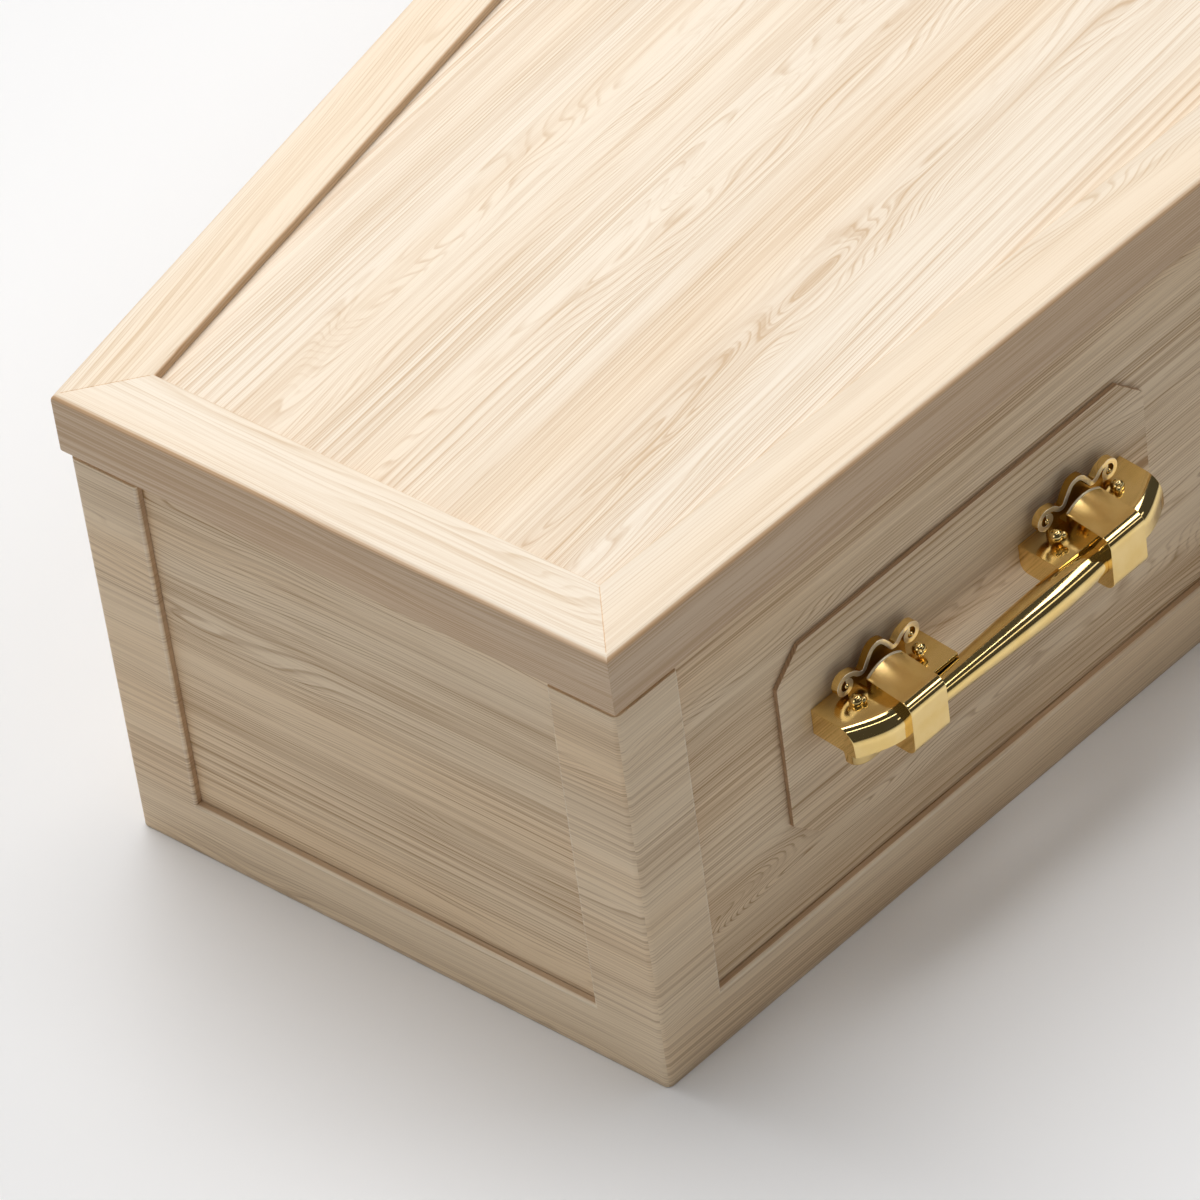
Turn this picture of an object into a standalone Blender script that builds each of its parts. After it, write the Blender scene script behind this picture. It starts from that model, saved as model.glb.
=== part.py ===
"""Cardboard coffin with wood-grain boards, a lift-off lid and six gilt bar handles.

Metres, +Z up. The foot end faces -X, the head end +X. Left and right are seen
from the foot, so the right long side faces -Y. The origin is on the ground under
the middle of the coffin.
"""

import math

import bmesh
import bpy
from mathutils import Matrix, Vector

# Plan of the body, over the outer faces of its frames
BODY_LENGTH = 1.924
SHOULDER_TO_HEAD = 0.680
FOOT_WIDTH = 0.380
SHOULDER_WIDTH = 0.640
HEAD_WIDTH = 0.400
BODY_HEIGHT = 0.2925

# Boards and frames of the body
WALL_THICKNESS = 0.007
FLOOR_THICKNESS = 0.008
FRAME_THICKNESS = 0.005
POST_WIDTH = 0.047
RAIL_HEIGHT = 0.040
CORNER_RADIUS = 0.004
FRAME_EDGE_RADIUS = 0.0018

# Lid
LID_OVERHANG = 0.003
LID_RIM_HEIGHT = 0.0425
LID_RIM_THICKNESS = 0.012
LID_BORDER_WIDTH = 0.0436
LID_BORDER_THICKNESS = 0.006
LID_PANEL_THICKNESS = 0.006
LID_TOP_RADIUS = 0.0058
LID_LOWER_RADIUS = 0.002
LID_INNER_RADIUS = 0.0022
LID_SHADOW_GAP = 0.0025

# Clearance between neighbouring pieces
GAP = 0.0003

# Backing plates of the handles
PLATE_LENGTH = 0.2966
PLATE_HEIGHT = 0.1435
PLATE_CHAMFER = 0.0195
PLATE_THICKNESS = 0.003
PLATE_DROP = 0.0055

PLATE_TO_POST = 0.0697
PLATE_SPACE = 0.025

# Handles
HANDLE_HEIGHT = 0.168
STRAP_SPACING = 0.162
BAR_RADIUS = 0.0082
BAR_END_RADIUS = 0.0075
BAR_REACH = 0.034
SOCKET_DEPTH = 0.010
SOCKET_CLEARANCE = 0.0005

# Handle bracket, from the middle of its strap and from the front of the plate
STRAP_WIDTH = 0.028
STRAP_REACH = 0.046
STRAP_RISE = 0.017
STRAP_FALL = 0.018
STRAP_CORNER_RADIUS = 0.006
STRAP_EDGE_BEVEL = 0.0013
BLOCK_OUTER_LENGTH = 0.045
BLOCK_INNER_LENGTH = 0.034
BLOCK_RISE = 0.015
BLOCK_INNER_RISE = 0.011
BLOCK_FALL = 0.005
BLOCK_SIDE_REACH = 0.026
BLOCK_NOSE_REACH = 0.039
BLOCK_NOSE_ROUND = 0.005
BAR_TO_BLOCK = 0.0008
LUG_OUTER_LENGTH = 0.042
LUG_BACK = 0.016
LUG_REACH = 0.033
LUG_FALL = 0.0215
LUG_CORNER_RADIUS = 0.011

# Scrolled crest on each bracket
CREST_BACK = 0.001
CREST_FRONT = 0.0075
CREST_PEAK = 0.033
CREST_SHOULDER_HEIGHT = 0.028
CREST_SHOULDER_HALF_WIDTH = 0.006
CREST_VALLEY_HEIGHT = 0.0205
CREST_VALLEY_HALF_WIDTH = 0.0105
CREST_LANDING_ANGLE = 120
CREST_ROOT = 0.0025
ARCH_HALF_WIDTH = 0.0108
ARCH_RISE = 0.0225
ARCH_FRONT = 0.010
VOLUTE_OFFSET = 0.0235
VOLUTE_HEIGHT = 0.0205
VOLUTE_RADIUS = 0.0062
VOLUTE_FRONT = 0.0095
EYE_RADIUS = 0.0027
EYE_PROUD = 0.0014
CURL_OFFSET = 0.0255
CURL_REACH = 0.0135
CURL_HEIGHT = 0.0165
CURL_RADIUS = 0.0040

# Facets
ROUND_SIDES = 12
CURL_SIDES = 8
CORNER_STEPS = 3
SMALL_CORNER_STEPS = 2
LID_TOP_STEPS = 4
NOSE_STEPS = 5
ARCH_STEPS = 6
BAR_STATIONS = 7
ROUND_PROFILE = 0.5

# Distances under which points count as one, or as level with each other
MERGE_DISTANCE = 1e-6
LEVEL_DISTANCE = 1e-7

# Colours
PRINTED_COLOUR = (0.62, 0.50, 0.36)
BOARD_COLOUR = (0.48, 0.36, 0.23)
GILT_COLOUR = (0.83, 0.60, 0.24)

TOTAL_HEIGHT = BODY_HEIGHT + LID_RIM_HEIGHT
SHOULDER_X = BODY_LENGTH / 2 - SHOULDER_TO_HEAD
OUTLINE = [
    Vector((-BODY_LENGTH / 2, -FOOT_WIDTH / 2)),
    Vector((SHOULDER_X, -SHOULDER_WIDTH / 2)),
    Vector((BODY_LENGTH / 2, -HEAD_WIDTH / 2)),
    Vector((BODY_LENGTH / 2, HEAD_WIDTH / 2)),
    Vector((SHOULDER_X, SHOULDER_WIDTH / 2)),
    Vector((-BODY_LENGTH / 2, FOOT_WIDTH / 2)),
]
FACES = len(OUTLINE)
RIGHT_LONG, RIGHT_SHORT, HEAD, LEFT_SHORT, LEFT_LONG, FOOT = range(FACES)


def face_direction(face):
    """Unit vector along one face of the plan, anticlockwise seen from above."""
    return (OUTLINE[(face + 1) % FACES] - OUTLINE[face]).normalized()


def face_length(face):
    return (OUTLINE[(face + 1) % FACES] - OUTLINE[face]).length


def half_turn(corner):
    """Half of the angle by which the outline turns at a corner."""
    return face_direction((corner - 1) % FACES).angle(face_direction(corner)) / 2


def face_point(face, along, depth, height):
    """Point on a face, by distance from its first corner, depth inwards and height."""
    direction = face_direction(face)
    inward = Vector((-direction.y, direction.x))
    flat = OUTLINE[face] + direction * along + inward * depth
    return Vector((flat.x, flat.y, height))


def corner_shift(corner, depth):
    """How far an inset face starts past its outer corner, on the mitre."""
    return depth * math.tan(half_turn(corner))


def corner_point(corner, depth, height):
    return face_point(corner, corner_shift(corner, depth), depth, height)


def face_start(face, depth):
    """Where a piece mitred at both ends of a face begins, at some depth."""
    return corner_shift(face, depth) + GAP / 2 / math.cos(half_turn(face))


def face_end(face, depth):
    """Where a piece mitred at both ends of a face stops, at some depth."""
    corner = (face + 1) % FACES
    return face_length(face) - corner_shift(corner, depth) - GAP / 2 / math.cos(half_turn(corner))


def arc(centre, radius, start, end, steps):
    """Points on a circle in a plane, angles in degrees."""
    points = []
    for step in range(steps + 1):
        angle = math.radians(start + (end - start) * step / steps)
        points.append((centre[0] + radius * math.cos(angle),
                       centre[1] + radius * math.sin(angle)))
    return points


def clear_scene():
    for item in list(bpy.data.objects):
        bpy.data.objects.remove(item, do_unlink=True)


def make_material(name, colour, roughness, metallic=0.0):
    material = bpy.data.materials.new(name)
    material.use_nodes = True
    shader = material.node_tree.nodes["Principled BSDF"]
    shader.inputs["Base Color"].default_value = (*colour, 1.0)
    shader.inputs["Roughness"].default_value = roughness
    shader.inputs["Metallic"].default_value = metallic
    return material


def make_mesh(name, fill):
    """Mesh made by a function that draws into a bmesh, closed and facing outwards."""
    shape = bmesh.new()
    fill(shape)
    bmesh.ops.remove_doubles(shape, verts=shape.verts, dist=MERGE_DISTANCE)
    bmesh.ops.recalc_face_normals(shape, faces=shape.faces)
    mesh = bpy.data.meshes.new(name)
    shape.to_mesh(mesh)
    shape.free()
    return mesh


def add_object(name, mesh, material, matrix=None):
    """Named object with a material, which may share its mesh with others."""
    item = bpy.data.objects.new(name, mesh)
    bpy.context.scene.collection.objects.link(item)
    item.data.materials.clear()
    item.data.materials.append(material)
    if matrix is not None:
        item.matrix_world = matrix
    return item


def extrude_loop(shape, first, last):
    """Closed prism between two matching loops of points."""
    low = [shape.verts.new(point) for point in first]
    high = [shape.verts.new(point) for point in last]
    shape.faces.new(low)
    shape.faces.new(list(reversed(high)))
    count = len(low)
    for index in range(count):
        after = (index + 1) % count
        shape.faces.new((low[index], high[index], high[after], low[after]))


def outline_slab(shape, depth, bottom, top):
    """Six-sided slab that fills the plan inside a given depth."""
    extrude_loop(shape,
                 [corner_point(corner, depth, bottom) for corner in range(FACES)],
                 [corner_point(corner, depth, top) for corner in range(FACES)])


def wall_board(shape, faces, outer, inner, bottom, top):
    """Upright board along one face, or folded round the corner between two."""
    stations = [(faces[0], face_start)]
    stations += [(face, corner_shift) for face in faces[1:]]
    stations.append((faces[-1], face_end))
    rings = []
    for face, along in stations:
        section = ((outer, bottom), (inner, bottom), (inner, top), (outer, top))
        rings.append([shape.verts.new(face_point(face, along(face, depth), depth, height))
                      for depth, height in section])
    shape.faces.new(rings[0])
    shape.faces.new(list(reversed(rings[-1])))
    for ring, following in zip(rings, rings[1:]):
        for index in range(len(ring)):
            after = (index + 1) % len(ring)
            shape.faces.new((ring[index], following[index], following[after], ring[after]))


def corner_round(corner):
    """Half of a rounded corner, as (distance from the sharp corner, depth), mitre last."""
    turn = half_turn(corner)
    points = []
    for step in range(CORNER_STEPS + 1):
        angle = turn * step / CORNER_STEPS
        points.append((CORNER_RADIUS * (math.tan(turn) - math.sin(angle)),
                       CORNER_RADIUS * (1 - math.cos(angle))))
    return points


def frame_columns(faces):
    """Stations along a frame, each as (face, distance, depth) of its front."""
    columns = [(faces[0], along, depth) for along, depth in reversed(corner_round(faces[0]))]
    for face in faces:
        if face != faces[0]:
            columns.append((face, 0.0, 0.0))
        columns.append((face, POST_WIDTH, 0.0))
        columns.append((face, face_length(face) - POST_WIDTH, 0.0))
    last = faces[-1]
    columns += [(last, face_length(last) - along, depth)
                for along, depth in corner_round((last + 1) % FACES)]
    return columns


def column_along(faces, index, columns, depth):
    """Distance of a station along its face at some depth, kept inside the end mitres."""
    face, along, _ = columns[index]
    if index == 0:
        return face_start(face, depth)
    if index == len(columns) - 1:
        return face_end(face, depth)
    if along == 0.0:
        return corner_shift(face, depth)
    if face == faces[0]:
        along = max(along, face_start(face, depth))
    if face == faces[-1]:
        along = min(along, face_end(face, depth))
    return along


def body_frame(shape, faces):
    """U-shaped frame: posts at each end of each face, over one bottom rail."""
    columns = frame_columns(faces)
    heights = (0.0, RAIL_HEIGHT, BODY_HEIGHT - LID_SHADOW_GAP)
    front = []
    back = []
    for index, (face, _, depth) in enumerate(columns):
        near = column_along(faces, index, columns, depth)
        far = column_along(faces, index, columns, FRAME_THICKNESS)
        front.append([shape.verts.new(face_point(face, near, depth, height))
                      for height in heights])
        back.append([shape.verts.new(face_point(face, far, FRAME_THICKNESS, height))
                     for height in heights])
    inner_edges = []
    for index in range(len(columns) - 1):
        following = index + 1
        face, along, _ = columns[index]
        is_opening = along == POST_WIDTH and face == columns[following][0]
        rows = (0,) if is_opening else (0, 1)
        for row in rows:
            shape.faces.new((front[index][row], front[following][row],
                             front[following][row + 1], front[index][row + 1]))
            shape.faces.new((back[index][row], back[index][row + 1],
                             back[following][row + 1], back[following][row]))
        cap = len(rows)
        shape.faces.new((front[index][0], back[index][0], back[following][0], front[following][0]))
        shape.faces.new((front[index][cap], front[following][cap],
                         back[following][cap], back[index][cap]))
        if is_opening:
            for post in (index, following):
                shape.faces.new((front[post][1], front[post][2], back[post][2], back[post][1]))
                inner_edges.append((front[post][1], front[post][2]))
            inner_edges.append((front[index][1], front[following][1]))
    for end in (0, -1):
        for row in (0, 1):
            shape.faces.new((front[end][row], front[end][row + 1],
                             back[end][row + 1], back[end][row]))
    bmesh.ops.recalc_face_normals(shape, faces=shape.faces)
    edges = [shape.edges.get(pair) for pair in inner_edges]
    bmesh.ops.bevel(shape, geom=edges, offset=FRAME_EDGE_RADIUS, segments=SMALL_CORNER_STEPS,
                    profile=ROUND_PROFILE, affect="EDGES", clamp_overlap=True)


def rim_profile():
    """Section of the lid's upright rim as (depth, height), rounded along its lower edge."""
    outside = -LID_OVERHANG
    inside = outside + LID_RIM_THICKNESS
    top = TOTAL_HEIGHT - LID_BORDER_THICKNESS - GAP
    points = [(inside, BODY_HEIGHT)]
    points += arc((outside + LID_LOWER_RADIUS, BODY_HEIGHT + LID_LOWER_RADIUS),
                  LID_LOWER_RADIUS, 270, 180, SMALL_CORNER_STEPS)
    points += [(outside, top), (inside, top)]
    return points


def border_profile():
    """Section of the lid's flat border as (depth, height), rounded along both edges."""
    outside = -LID_OVERHANG
    inside = outside + LID_BORDER_WIDTH
    top = TOTAL_HEIGHT
    under = TOTAL_HEIGHT - LID_BORDER_THICKNESS
    points = [(inside, under), (outside, under)]
    points += arc((outside + LID_TOP_RADIUS, top - LID_TOP_RADIUS),
                  LID_TOP_RADIUS, 180, 90, LID_TOP_STEPS)
    points += arc((inside - LID_INNER_RADIUS, top - LID_INNER_RADIUS),
                  LID_INNER_RADIUS, 90, 0, SMALL_CORNER_STEPS)
    return points


def lid_strip(shape, face, profile):
    """Strip of the lid along one face, mitred at both ends."""
    extrude_loop(shape,
                 [face_point(face, face_start(face, depth), depth, height)
                  for depth, height in profile],
                 [face_point(face, face_end(face, depth), depth, height)
                  for depth, height in profile])


def prism_x(shape, section, left, right):
    """Prism along X from a section of (reach, height) points; reach runs outwards."""
    extrude_loop(shape,
                 [Vector((left, -reach, height)) for reach, height in section],
                 [Vector((right, -reach, height)) for reach, height in section])


def prism_y(shape, section, back, front):
    """Prism outwards from the plate, from a section of (x, height) points."""
    extrude_loop(shape,
                 [Vector((x, -back, height)) for x, height in section],
                 [Vector((x, -front, height)) for x, height in section])


def prism_z(shape, section, bottom, top):
    """Upright prism from a plan of (x, reach) points."""
    extrude_loop(shape,
                 [Vector((x, -reach, bottom)) for x, reach in section],
                 [Vector((x, -reach, top)) for x, reach in section])


def fill_strap(shape):
    """Band over the front of the bracket, round-cornered in section."""
    radius = STRAP_CORNER_RADIUS
    section = [(0.0, -STRAP_FALL)]
    section += arc((STRAP_REACH - radius, -STRAP_FALL + radius), radius, 270, 360, CORNER_STEPS)
    section += arc((STRAP_REACH - radius, STRAP_RISE - radius), radius, 0, 90, CORNER_STEPS)
    section.append((0.0, STRAP_RISE))
    half = STRAP_WIDTH / 2
    prism_x(shape, section, -half, half)
    bmesh.ops.recalc_face_normals(shape, faces=shape.faces)
    rim = []
    for edge in shape.edges:
        same_side = abs(edge.verts[0].co.x - edge.verts[1].co.x) < LEVEL_DISTANCE
        at_plate = all(abs(vert.co.y) < LEVEL_DISTANCE for vert in edge.verts)
        if same_side and not at_plate:
            rim.append(edge)
    bmesh.ops.bevel(shape, geom=rim, offset=STRAP_EDGE_BEVEL, segments=1,
                    profile=ROUND_PROFILE, affect="EDGES", clamp_overlap=True)


def nose_plan():
    """Plan of the outer block: a square side that sweeps out into a rounded nose."""
    outer = -BLOCK_OUTER_LENGTH
    points = [(outer, 0.0), (outer, BLOCK_SIDE_REACH)]
    sweep = BLOCK_NOSE_REACH - BLOCK_SIDE_REACH
    run = BLOCK_OUTER_LENGTH - STRAP_WIDTH / 2
    for step in range(1, NOSE_STEPS + 1):
        share = step / NOSE_STEPS
        reach = BLOCK_SIDE_REACH + sweep * math.sin(share * math.pi / 2)
        points.append((outer + run * share, reach))
    points.append((0.0, BLOCK_NOSE_REACH))
    points.append((0.0, 0.0))
    return points


def fill_block(shape):
    """Slab on the outer side of the strap, rounded along the top of its nose."""
    prism_z(shape, nose_plan(), -BLOCK_FALL, BLOCK_RISE)
    bmesh.ops.recalc_face_normals(shape, faces=shape.faces)
    nose = []
    for edge in shape.edges:
        middle = (edge.verts[0].co + edge.verts[1].co) / 2
        level = abs(edge.verts[0].co.z - edge.verts[1].co.z) < LEVEL_DISTANCE
        on_nose = -middle.y > BLOCK_SIDE_REACH and middle.x < -STRAP_WIDTH / 2
        if level and on_nose and middle.z > 0:
            nose.append(edge)
    bmesh.ops.bevel(shape, geom=nose, offset=BLOCK_NOSE_ROUND, segments=CORNER_STEPS,
                    profile=ROUND_PROFILE, affect="EDGES", clamp_overlap=True)


def fill_inner_block(shape):
    """Lower slab on the inner side of the strap, stopping short of the bar."""
    reach = BAR_REACH - BAR_RADIUS - BAR_TO_BLOCK
    plan = [(0.0, 0.0), (0.0, reach), (BLOCK_INNER_LENGTH, reach), (BLOCK_INNER_LENGTH, 0.0)]
    prism_z(shape, plan, -BLOCK_FALL, BLOCK_INNER_RISE)


def fill_lug(shape):
    """Lug that hangs under the nose, round-cornered in plan."""
    radius = LUG_CORNER_RADIUS
    outer = -LUG_OUTER_LENGTH
    plan = [(0.0, LUG_BACK), (outer, LUG_BACK)]
    plan += arc((outer + radius, LUG_REACH - radius), radius, 180, 90, CORNER_STEPS)
    plan.append((0.0, LUG_REACH))
    prism_z(shape, plan, -LUG_FALL, 0.0)


def fill_crest(shape):
    """Pointed ribbon that lands on the two volutes and is rooted in the block."""
    angle = math.radians(CREST_LANDING_ANGLE)
    landing = VOLUTE_OFFSET + VOLUTE_RADIUS * math.cos(angle)
    half = [(CREST_SHOULDER_HALF_WIDTH, CREST_SHOULDER_HEIGHT),
            (CREST_VALLEY_HALF_WIDTH, CREST_VALLEY_HEIGHT),
            (landing, VOLUTE_HEIGHT + VOLUTE_RADIUS * math.sin(angle)),
            (VOLUTE_OFFSET, VOLUTE_HEIGHT),
            (landing, BLOCK_RISE - CREST_ROOT)]
    section = [(0.0, CREST_PEAK)] + half
    section += [(-x, height) for x, height in reversed(half)]
    prism_y(shape, section, CREST_BACK, CREST_FRONT)


def fill_arch(shape):
    """Low arch in front of the crest, rising from the top of the strap."""
    rise = ARCH_RISE - BLOCK_RISE
    radius = (ARCH_HALF_WIDTH ** 2 + rise ** 2) / (2 * rise)
    reach = math.degrees(math.asin(ARCH_HALF_WIDTH / radius))
    section = arc((0.0, ARCH_RISE - radius), radius, 90 + reach, 90 - reach, ARCH_STEPS)
    prism_y(shape, section, CREST_BACK, ARCH_FRONT)


def cylinder_y(shape, x, height, radius, back, front, sides):
    section = arc((x, height), radius, 0, 360, sides)[:-1]
    prism_y(shape, section, back, front)


def ball(shape, centre, radius, sides):
    matrix = Matrix.Translation(centre)
    bmesh.ops.create_uvsphere(shape, u_segments=sides, v_segments=sides // 2 + 1,
                              radius=radius, matrix=matrix)


def temporary(fill):
    mesh = make_mesh("shape", fill)
    item = bpy.data.objects.new("shape", mesh)
    bpy.context.scene.collection.objects.link(item)
    item.hide_render = True
    item.display_type = "WIRE"
    return item


def combined_mesh(name, base, added, removed):
    """Mesh of one casting: a base shape, others joined to it and others cut from it."""
    body = temporary(base)
    tools = []
    for operation, fills in (("UNION", added), ("DIFFERENCE", removed)):
        for fill in fills:
            tool = temporary(fill)
            tools.append(tool)
            cut = body.modifiers.new(operation.lower(), "BOOLEAN")
            cut.operation = operation
            cut.object = tool
            cut.solver = "EXACT"
    bpy.context.view_layer.update()
    evaluated = body.evaluated_get(bpy.context.evaluated_depsgraph_get())
    mesh = bpy.data.meshes.new_from_object(evaluated)
    mesh.name = name
    for item in [body] + tools:
        bpy.data.objects.remove(item, do_unlink=True)
    return mesh


def bracket_mesh(name):
    """Cast bracket with its bar on the +X side."""

    def socket(shape):
        start = STRAP_WIDTH / 2 - SOCKET_DEPTH
        section = arc((BAR_REACH, 0.0), BAR_END_RADIUS + SOCKET_CLEARANCE, 0, 360, ROUND_SIDES)[:-1]
        prism_x(shape, section, start, STRAP_WIDTH)

    added = [fill_block, fill_inner_block, fill_lug, fill_crest, fill_arch]
    for side in (-1, 1):
        added.append(lambda shape, side=side: cylinder_y(
            shape, side * VOLUTE_OFFSET, VOLUTE_HEIGHT, VOLUTE_RADIUS,
            CREST_BACK, VOLUTE_FRONT, ROUND_SIDES))
        added.append(lambda shape, side=side: cylinder_y(
            shape, side * VOLUTE_OFFSET, VOLUTE_HEIGHT, EYE_RADIUS,
            VOLUTE_FRONT - EYE_RADIUS, VOLUTE_FRONT + EYE_PROUD, CURL_SIDES))
        added.append(lambda shape, side=side: ball(
            shape, Vector((side * CURL_OFFSET, -CURL_REACH, CURL_HEIGHT)), CURL_RADIUS, CURL_SIDES))
    return combined_mesh(name, fill_strap, added, [socket])


def mirrored_mesh(name, source):
    """Copy of a mesh turned over along X, still facing outwards."""
    mesh = source.copy()
    mesh.name = name
    mesh.transform(Matrix.Scale(-1, 4, Vector((1, 0, 0))))
    mesh.flip_normals()
    return mesh


def fill_bar(shape):
    """Round bar that swells a little towards its middle."""
    half = STRAP_SPACING / 2 - STRAP_WIDTH / 2 + SOCKET_DEPTH - GAP
    rings = []
    for station in range(BAR_STATIONS):
        share = -1 + 2 * station / (BAR_STATIONS - 1)
        radius = BAR_RADIUS - (BAR_RADIUS - BAR_END_RADIUS) * share ** 2
        ring = [shape.verts.new((half * share, -reach, height))
                for reach, height in arc((BAR_REACH, 0.0), radius, 0, 360, ROUND_SIDES)[:-1]]
        rings.append(ring)
    shape.faces.new(rings[0])
    shape.faces.new(list(reversed(rings[-1])))
    for ring, following in zip(rings, rings[1:]):
        for index in range(ROUND_SIDES):
            after = (index + 1) % ROUND_SIDES
            shape.faces.new((ring[index], following[index], following[after], ring[after]))


def fill_plate(shape):
    """Backing plate with cut corners, centred a little below the handle."""
    half = PLATE_LENGTH / 2
    low = -PLATE_DROP - PLATE_HEIGHT / 2
    high = -PLATE_DROP + PLATE_HEIGHT / 2
    cut = PLATE_CHAMFER
    section = [(-half + cut, low), (half - cut, low), (half, low + cut), (half, high - cut),
               (half - cut, high), (-half + cut, high), (-half, high - cut), (-half, low + cut)]
    prism_y(shape, section, -GAP - PLATE_THICKNESS, -GAP)


def handle_matrix(face, along):
    """Place of a handle: on the front of its plate, X along the face."""
    direction = face_direction(face)
    depth = FRAME_THICKNESS - PLATE_THICKNESS - GAP
    place = face_point(face, along, depth, HANDLE_HEIGHT)
    turn = Matrix.Rotation(math.atan2(direction.y, direction.x), 4, "Z")
    return Matrix.Translation(place) @ turn


def handle_places(face):
    """Distances of the handles along a long side, spread evenly between its end plates."""
    first = POST_WIDTH + PLATE_TO_POST + PLATE_LENGTH / 2
    run = face_length(face) - 2 * first
    spaces = max(1, int(run / (PLATE_LENGTH + PLATE_SPACE)))
    places = [first + run * index / spaces for index in range(spaces + 1)]
    if face == LEFT_LONG:
        places.reverse()
    return places


def build_body(board, printed):
    inner = FRAME_THICKNESS + GAP + WALL_THICKNESS
    outer = FRAME_THICKNESS + GAP
    top = BODY_HEIGHT - GAP
    add_object("floor_board", make_mesh("floor_board", lambda shape: outline_slab(
        shape, inner + GAP, 0.0, FLOOR_THICKNESS)), board)
    walls = {"foot": [FOOT], "head": [HEAD],
             "right_side": [RIGHT_LONG, RIGHT_SHORT], "left_side": [LEFT_SHORT, LEFT_LONG]}
    for name, faces in walls.items():
        add_object(name + "_board", make_mesh(name + "_board", lambda shape: wall_board(
            shape, faces, outer, inner, 0.0, top)), printed)
        add_object(name + "_frame", make_mesh(name + "_frame", lambda shape: body_frame(
            shape, faces)), printed)


def build_lid(printed):
    depth = LID_RIM_THICKNESS - LID_OVERHANG + GAP
    top = TOTAL_HEIGHT - LID_BORDER_THICKNESS - GAP
    add_object("lid_panel", make_mesh("lid_panel", lambda shape: outline_slab(
        shape, depth, top - LID_PANEL_THICKNESS, top)), printed)
    names = {FOOT: "foot", HEAD: "head", RIGHT_LONG: "right_long", RIGHT_SHORT: "right_shoulder",
             LEFT_LONG: "left_long", LEFT_SHORT: "left_shoulder"}
    for face, name in names.items():
        for part, profile in (("rim", rim_profile()), ("border", border_profile())):
            full_name = "lid_{}_{}".format(name, part)
            add_object(full_name, make_mesh(full_name, lambda shape: lid_strip(
                shape, face, profile)), printed)


def build_handles(printed, gilt):
    plate = make_mesh("handle_plate", fill_plate)
    bar = make_mesh("handle_bar", fill_bar)
    first_bracket = bracket_mesh("first_bracket")
    second_bracket = mirrored_mesh("second_bracket", first_bracket)
    for side, face in (("right", RIGHT_LONG), ("left", LEFT_LONG)):
        for number, along in enumerate(handle_places(face), start=1):
            matrix = handle_matrix(face, along)
            name = "{}_handle_{}".format(side, number)
            add_object(name + "_plate", plate, printed, matrix)
            add_object(name + "_bar", bar, gilt, matrix)
            ends = ((-1, first_bracket, "foot"), (1, second_bracket, "head"))
            for sign, mesh, end in ends:
                if face == LEFT_LONG:
                    end = "head" if end == "foot" else "foot"
                shift = Matrix.Translation((sign * STRAP_SPACING / 2, 0.0, 0.0))
                add_object(name + "_" + end + "_bracket", mesh, gilt, matrix @ shift)


def main():
    clear_scene()
    printed = make_material("wood_grain_board", PRINTED_COLOUR, 0.55)
    board = make_material("plain_board", BOARD_COLOUR, 0.85)
    gilt = make_material("gilt", GILT_COLOUR, 0.18, 1.0)
    build_body(board, printed)
    build_lid(printed)
    build_handles(printed, gilt)


main()
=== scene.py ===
import math

import bmesh
import bpy
from bpy.props import FloatProperty, FloatVectorProperty, PointerProperty
from mathutils import Matrix, Vector


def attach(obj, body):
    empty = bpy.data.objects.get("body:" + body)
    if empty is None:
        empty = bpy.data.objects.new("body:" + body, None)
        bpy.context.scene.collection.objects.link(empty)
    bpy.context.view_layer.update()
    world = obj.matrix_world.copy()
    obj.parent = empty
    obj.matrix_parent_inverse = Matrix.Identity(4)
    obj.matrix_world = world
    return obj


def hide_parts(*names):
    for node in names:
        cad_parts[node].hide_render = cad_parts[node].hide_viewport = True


bl_info = {
    "name": "Cardboard Coffin Finish",
    "version": (1, 0, 0),
    "blender": (4, 5, 0),
    "location": "View3D > Sidebar > Coffin",
    "description": "Finishes a framed wood-grain coffin with a bordered lid and gilt bar handles",
    "category": "Object",
}

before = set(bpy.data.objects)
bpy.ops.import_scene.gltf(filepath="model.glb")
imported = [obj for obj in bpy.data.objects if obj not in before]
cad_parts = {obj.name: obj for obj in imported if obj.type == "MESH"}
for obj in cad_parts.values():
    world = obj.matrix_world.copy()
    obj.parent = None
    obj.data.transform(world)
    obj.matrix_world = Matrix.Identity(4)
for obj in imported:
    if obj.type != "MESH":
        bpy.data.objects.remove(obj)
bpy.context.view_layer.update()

BODY = "root"
RIGHT_LONG, RIGHT_SHORT, HEAD, LEFT_SHORT, LEFT_LONG, FOOT = range(6)
LID_SIDES = ("foot", "head", "right_long", "right_shoulder", "left_long", "left_shoulder")
GRAIN_MAP = "grain"
# Finishes of the casting; the bead finish is paler gilt as painted highlight and the recess finish darker
# gilt as painted shade.
POLISHED, BEAD, SATIN, RECESS_SHADE = range(4)
NEAR = 1e-5
RINGS_PER_METRE = 150.0
LINES_PER_METRE = 470.0
RIBBON_DIP = ((-0.0196, 0.0287), (-0.0152, 0.0251), (-0.0114, 0.0248), (-0.0080, 0.0297))
BERRIES = ((0.0, 0.0336), (-0.0042, 0.0318), (0.0042, 0.0318), (-0.0075, 0.0285),
           (0.0075, 0.0285), (-0.0102, 0.0252), (0.0102, 0.0252))


def length(label, text, size):
    """Length property in metres."""
    return FloatProperty(name=label, description=text, default=size, min=0.0, unit="LENGTH", precision=4)


def colour(label, text, value):
    """Colour property, linear."""
    return FloatVectorProperty(name=label, description=text, default=value, size=3,
                               min=0.0, max=1.0, subtype="COLOR")


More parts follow.
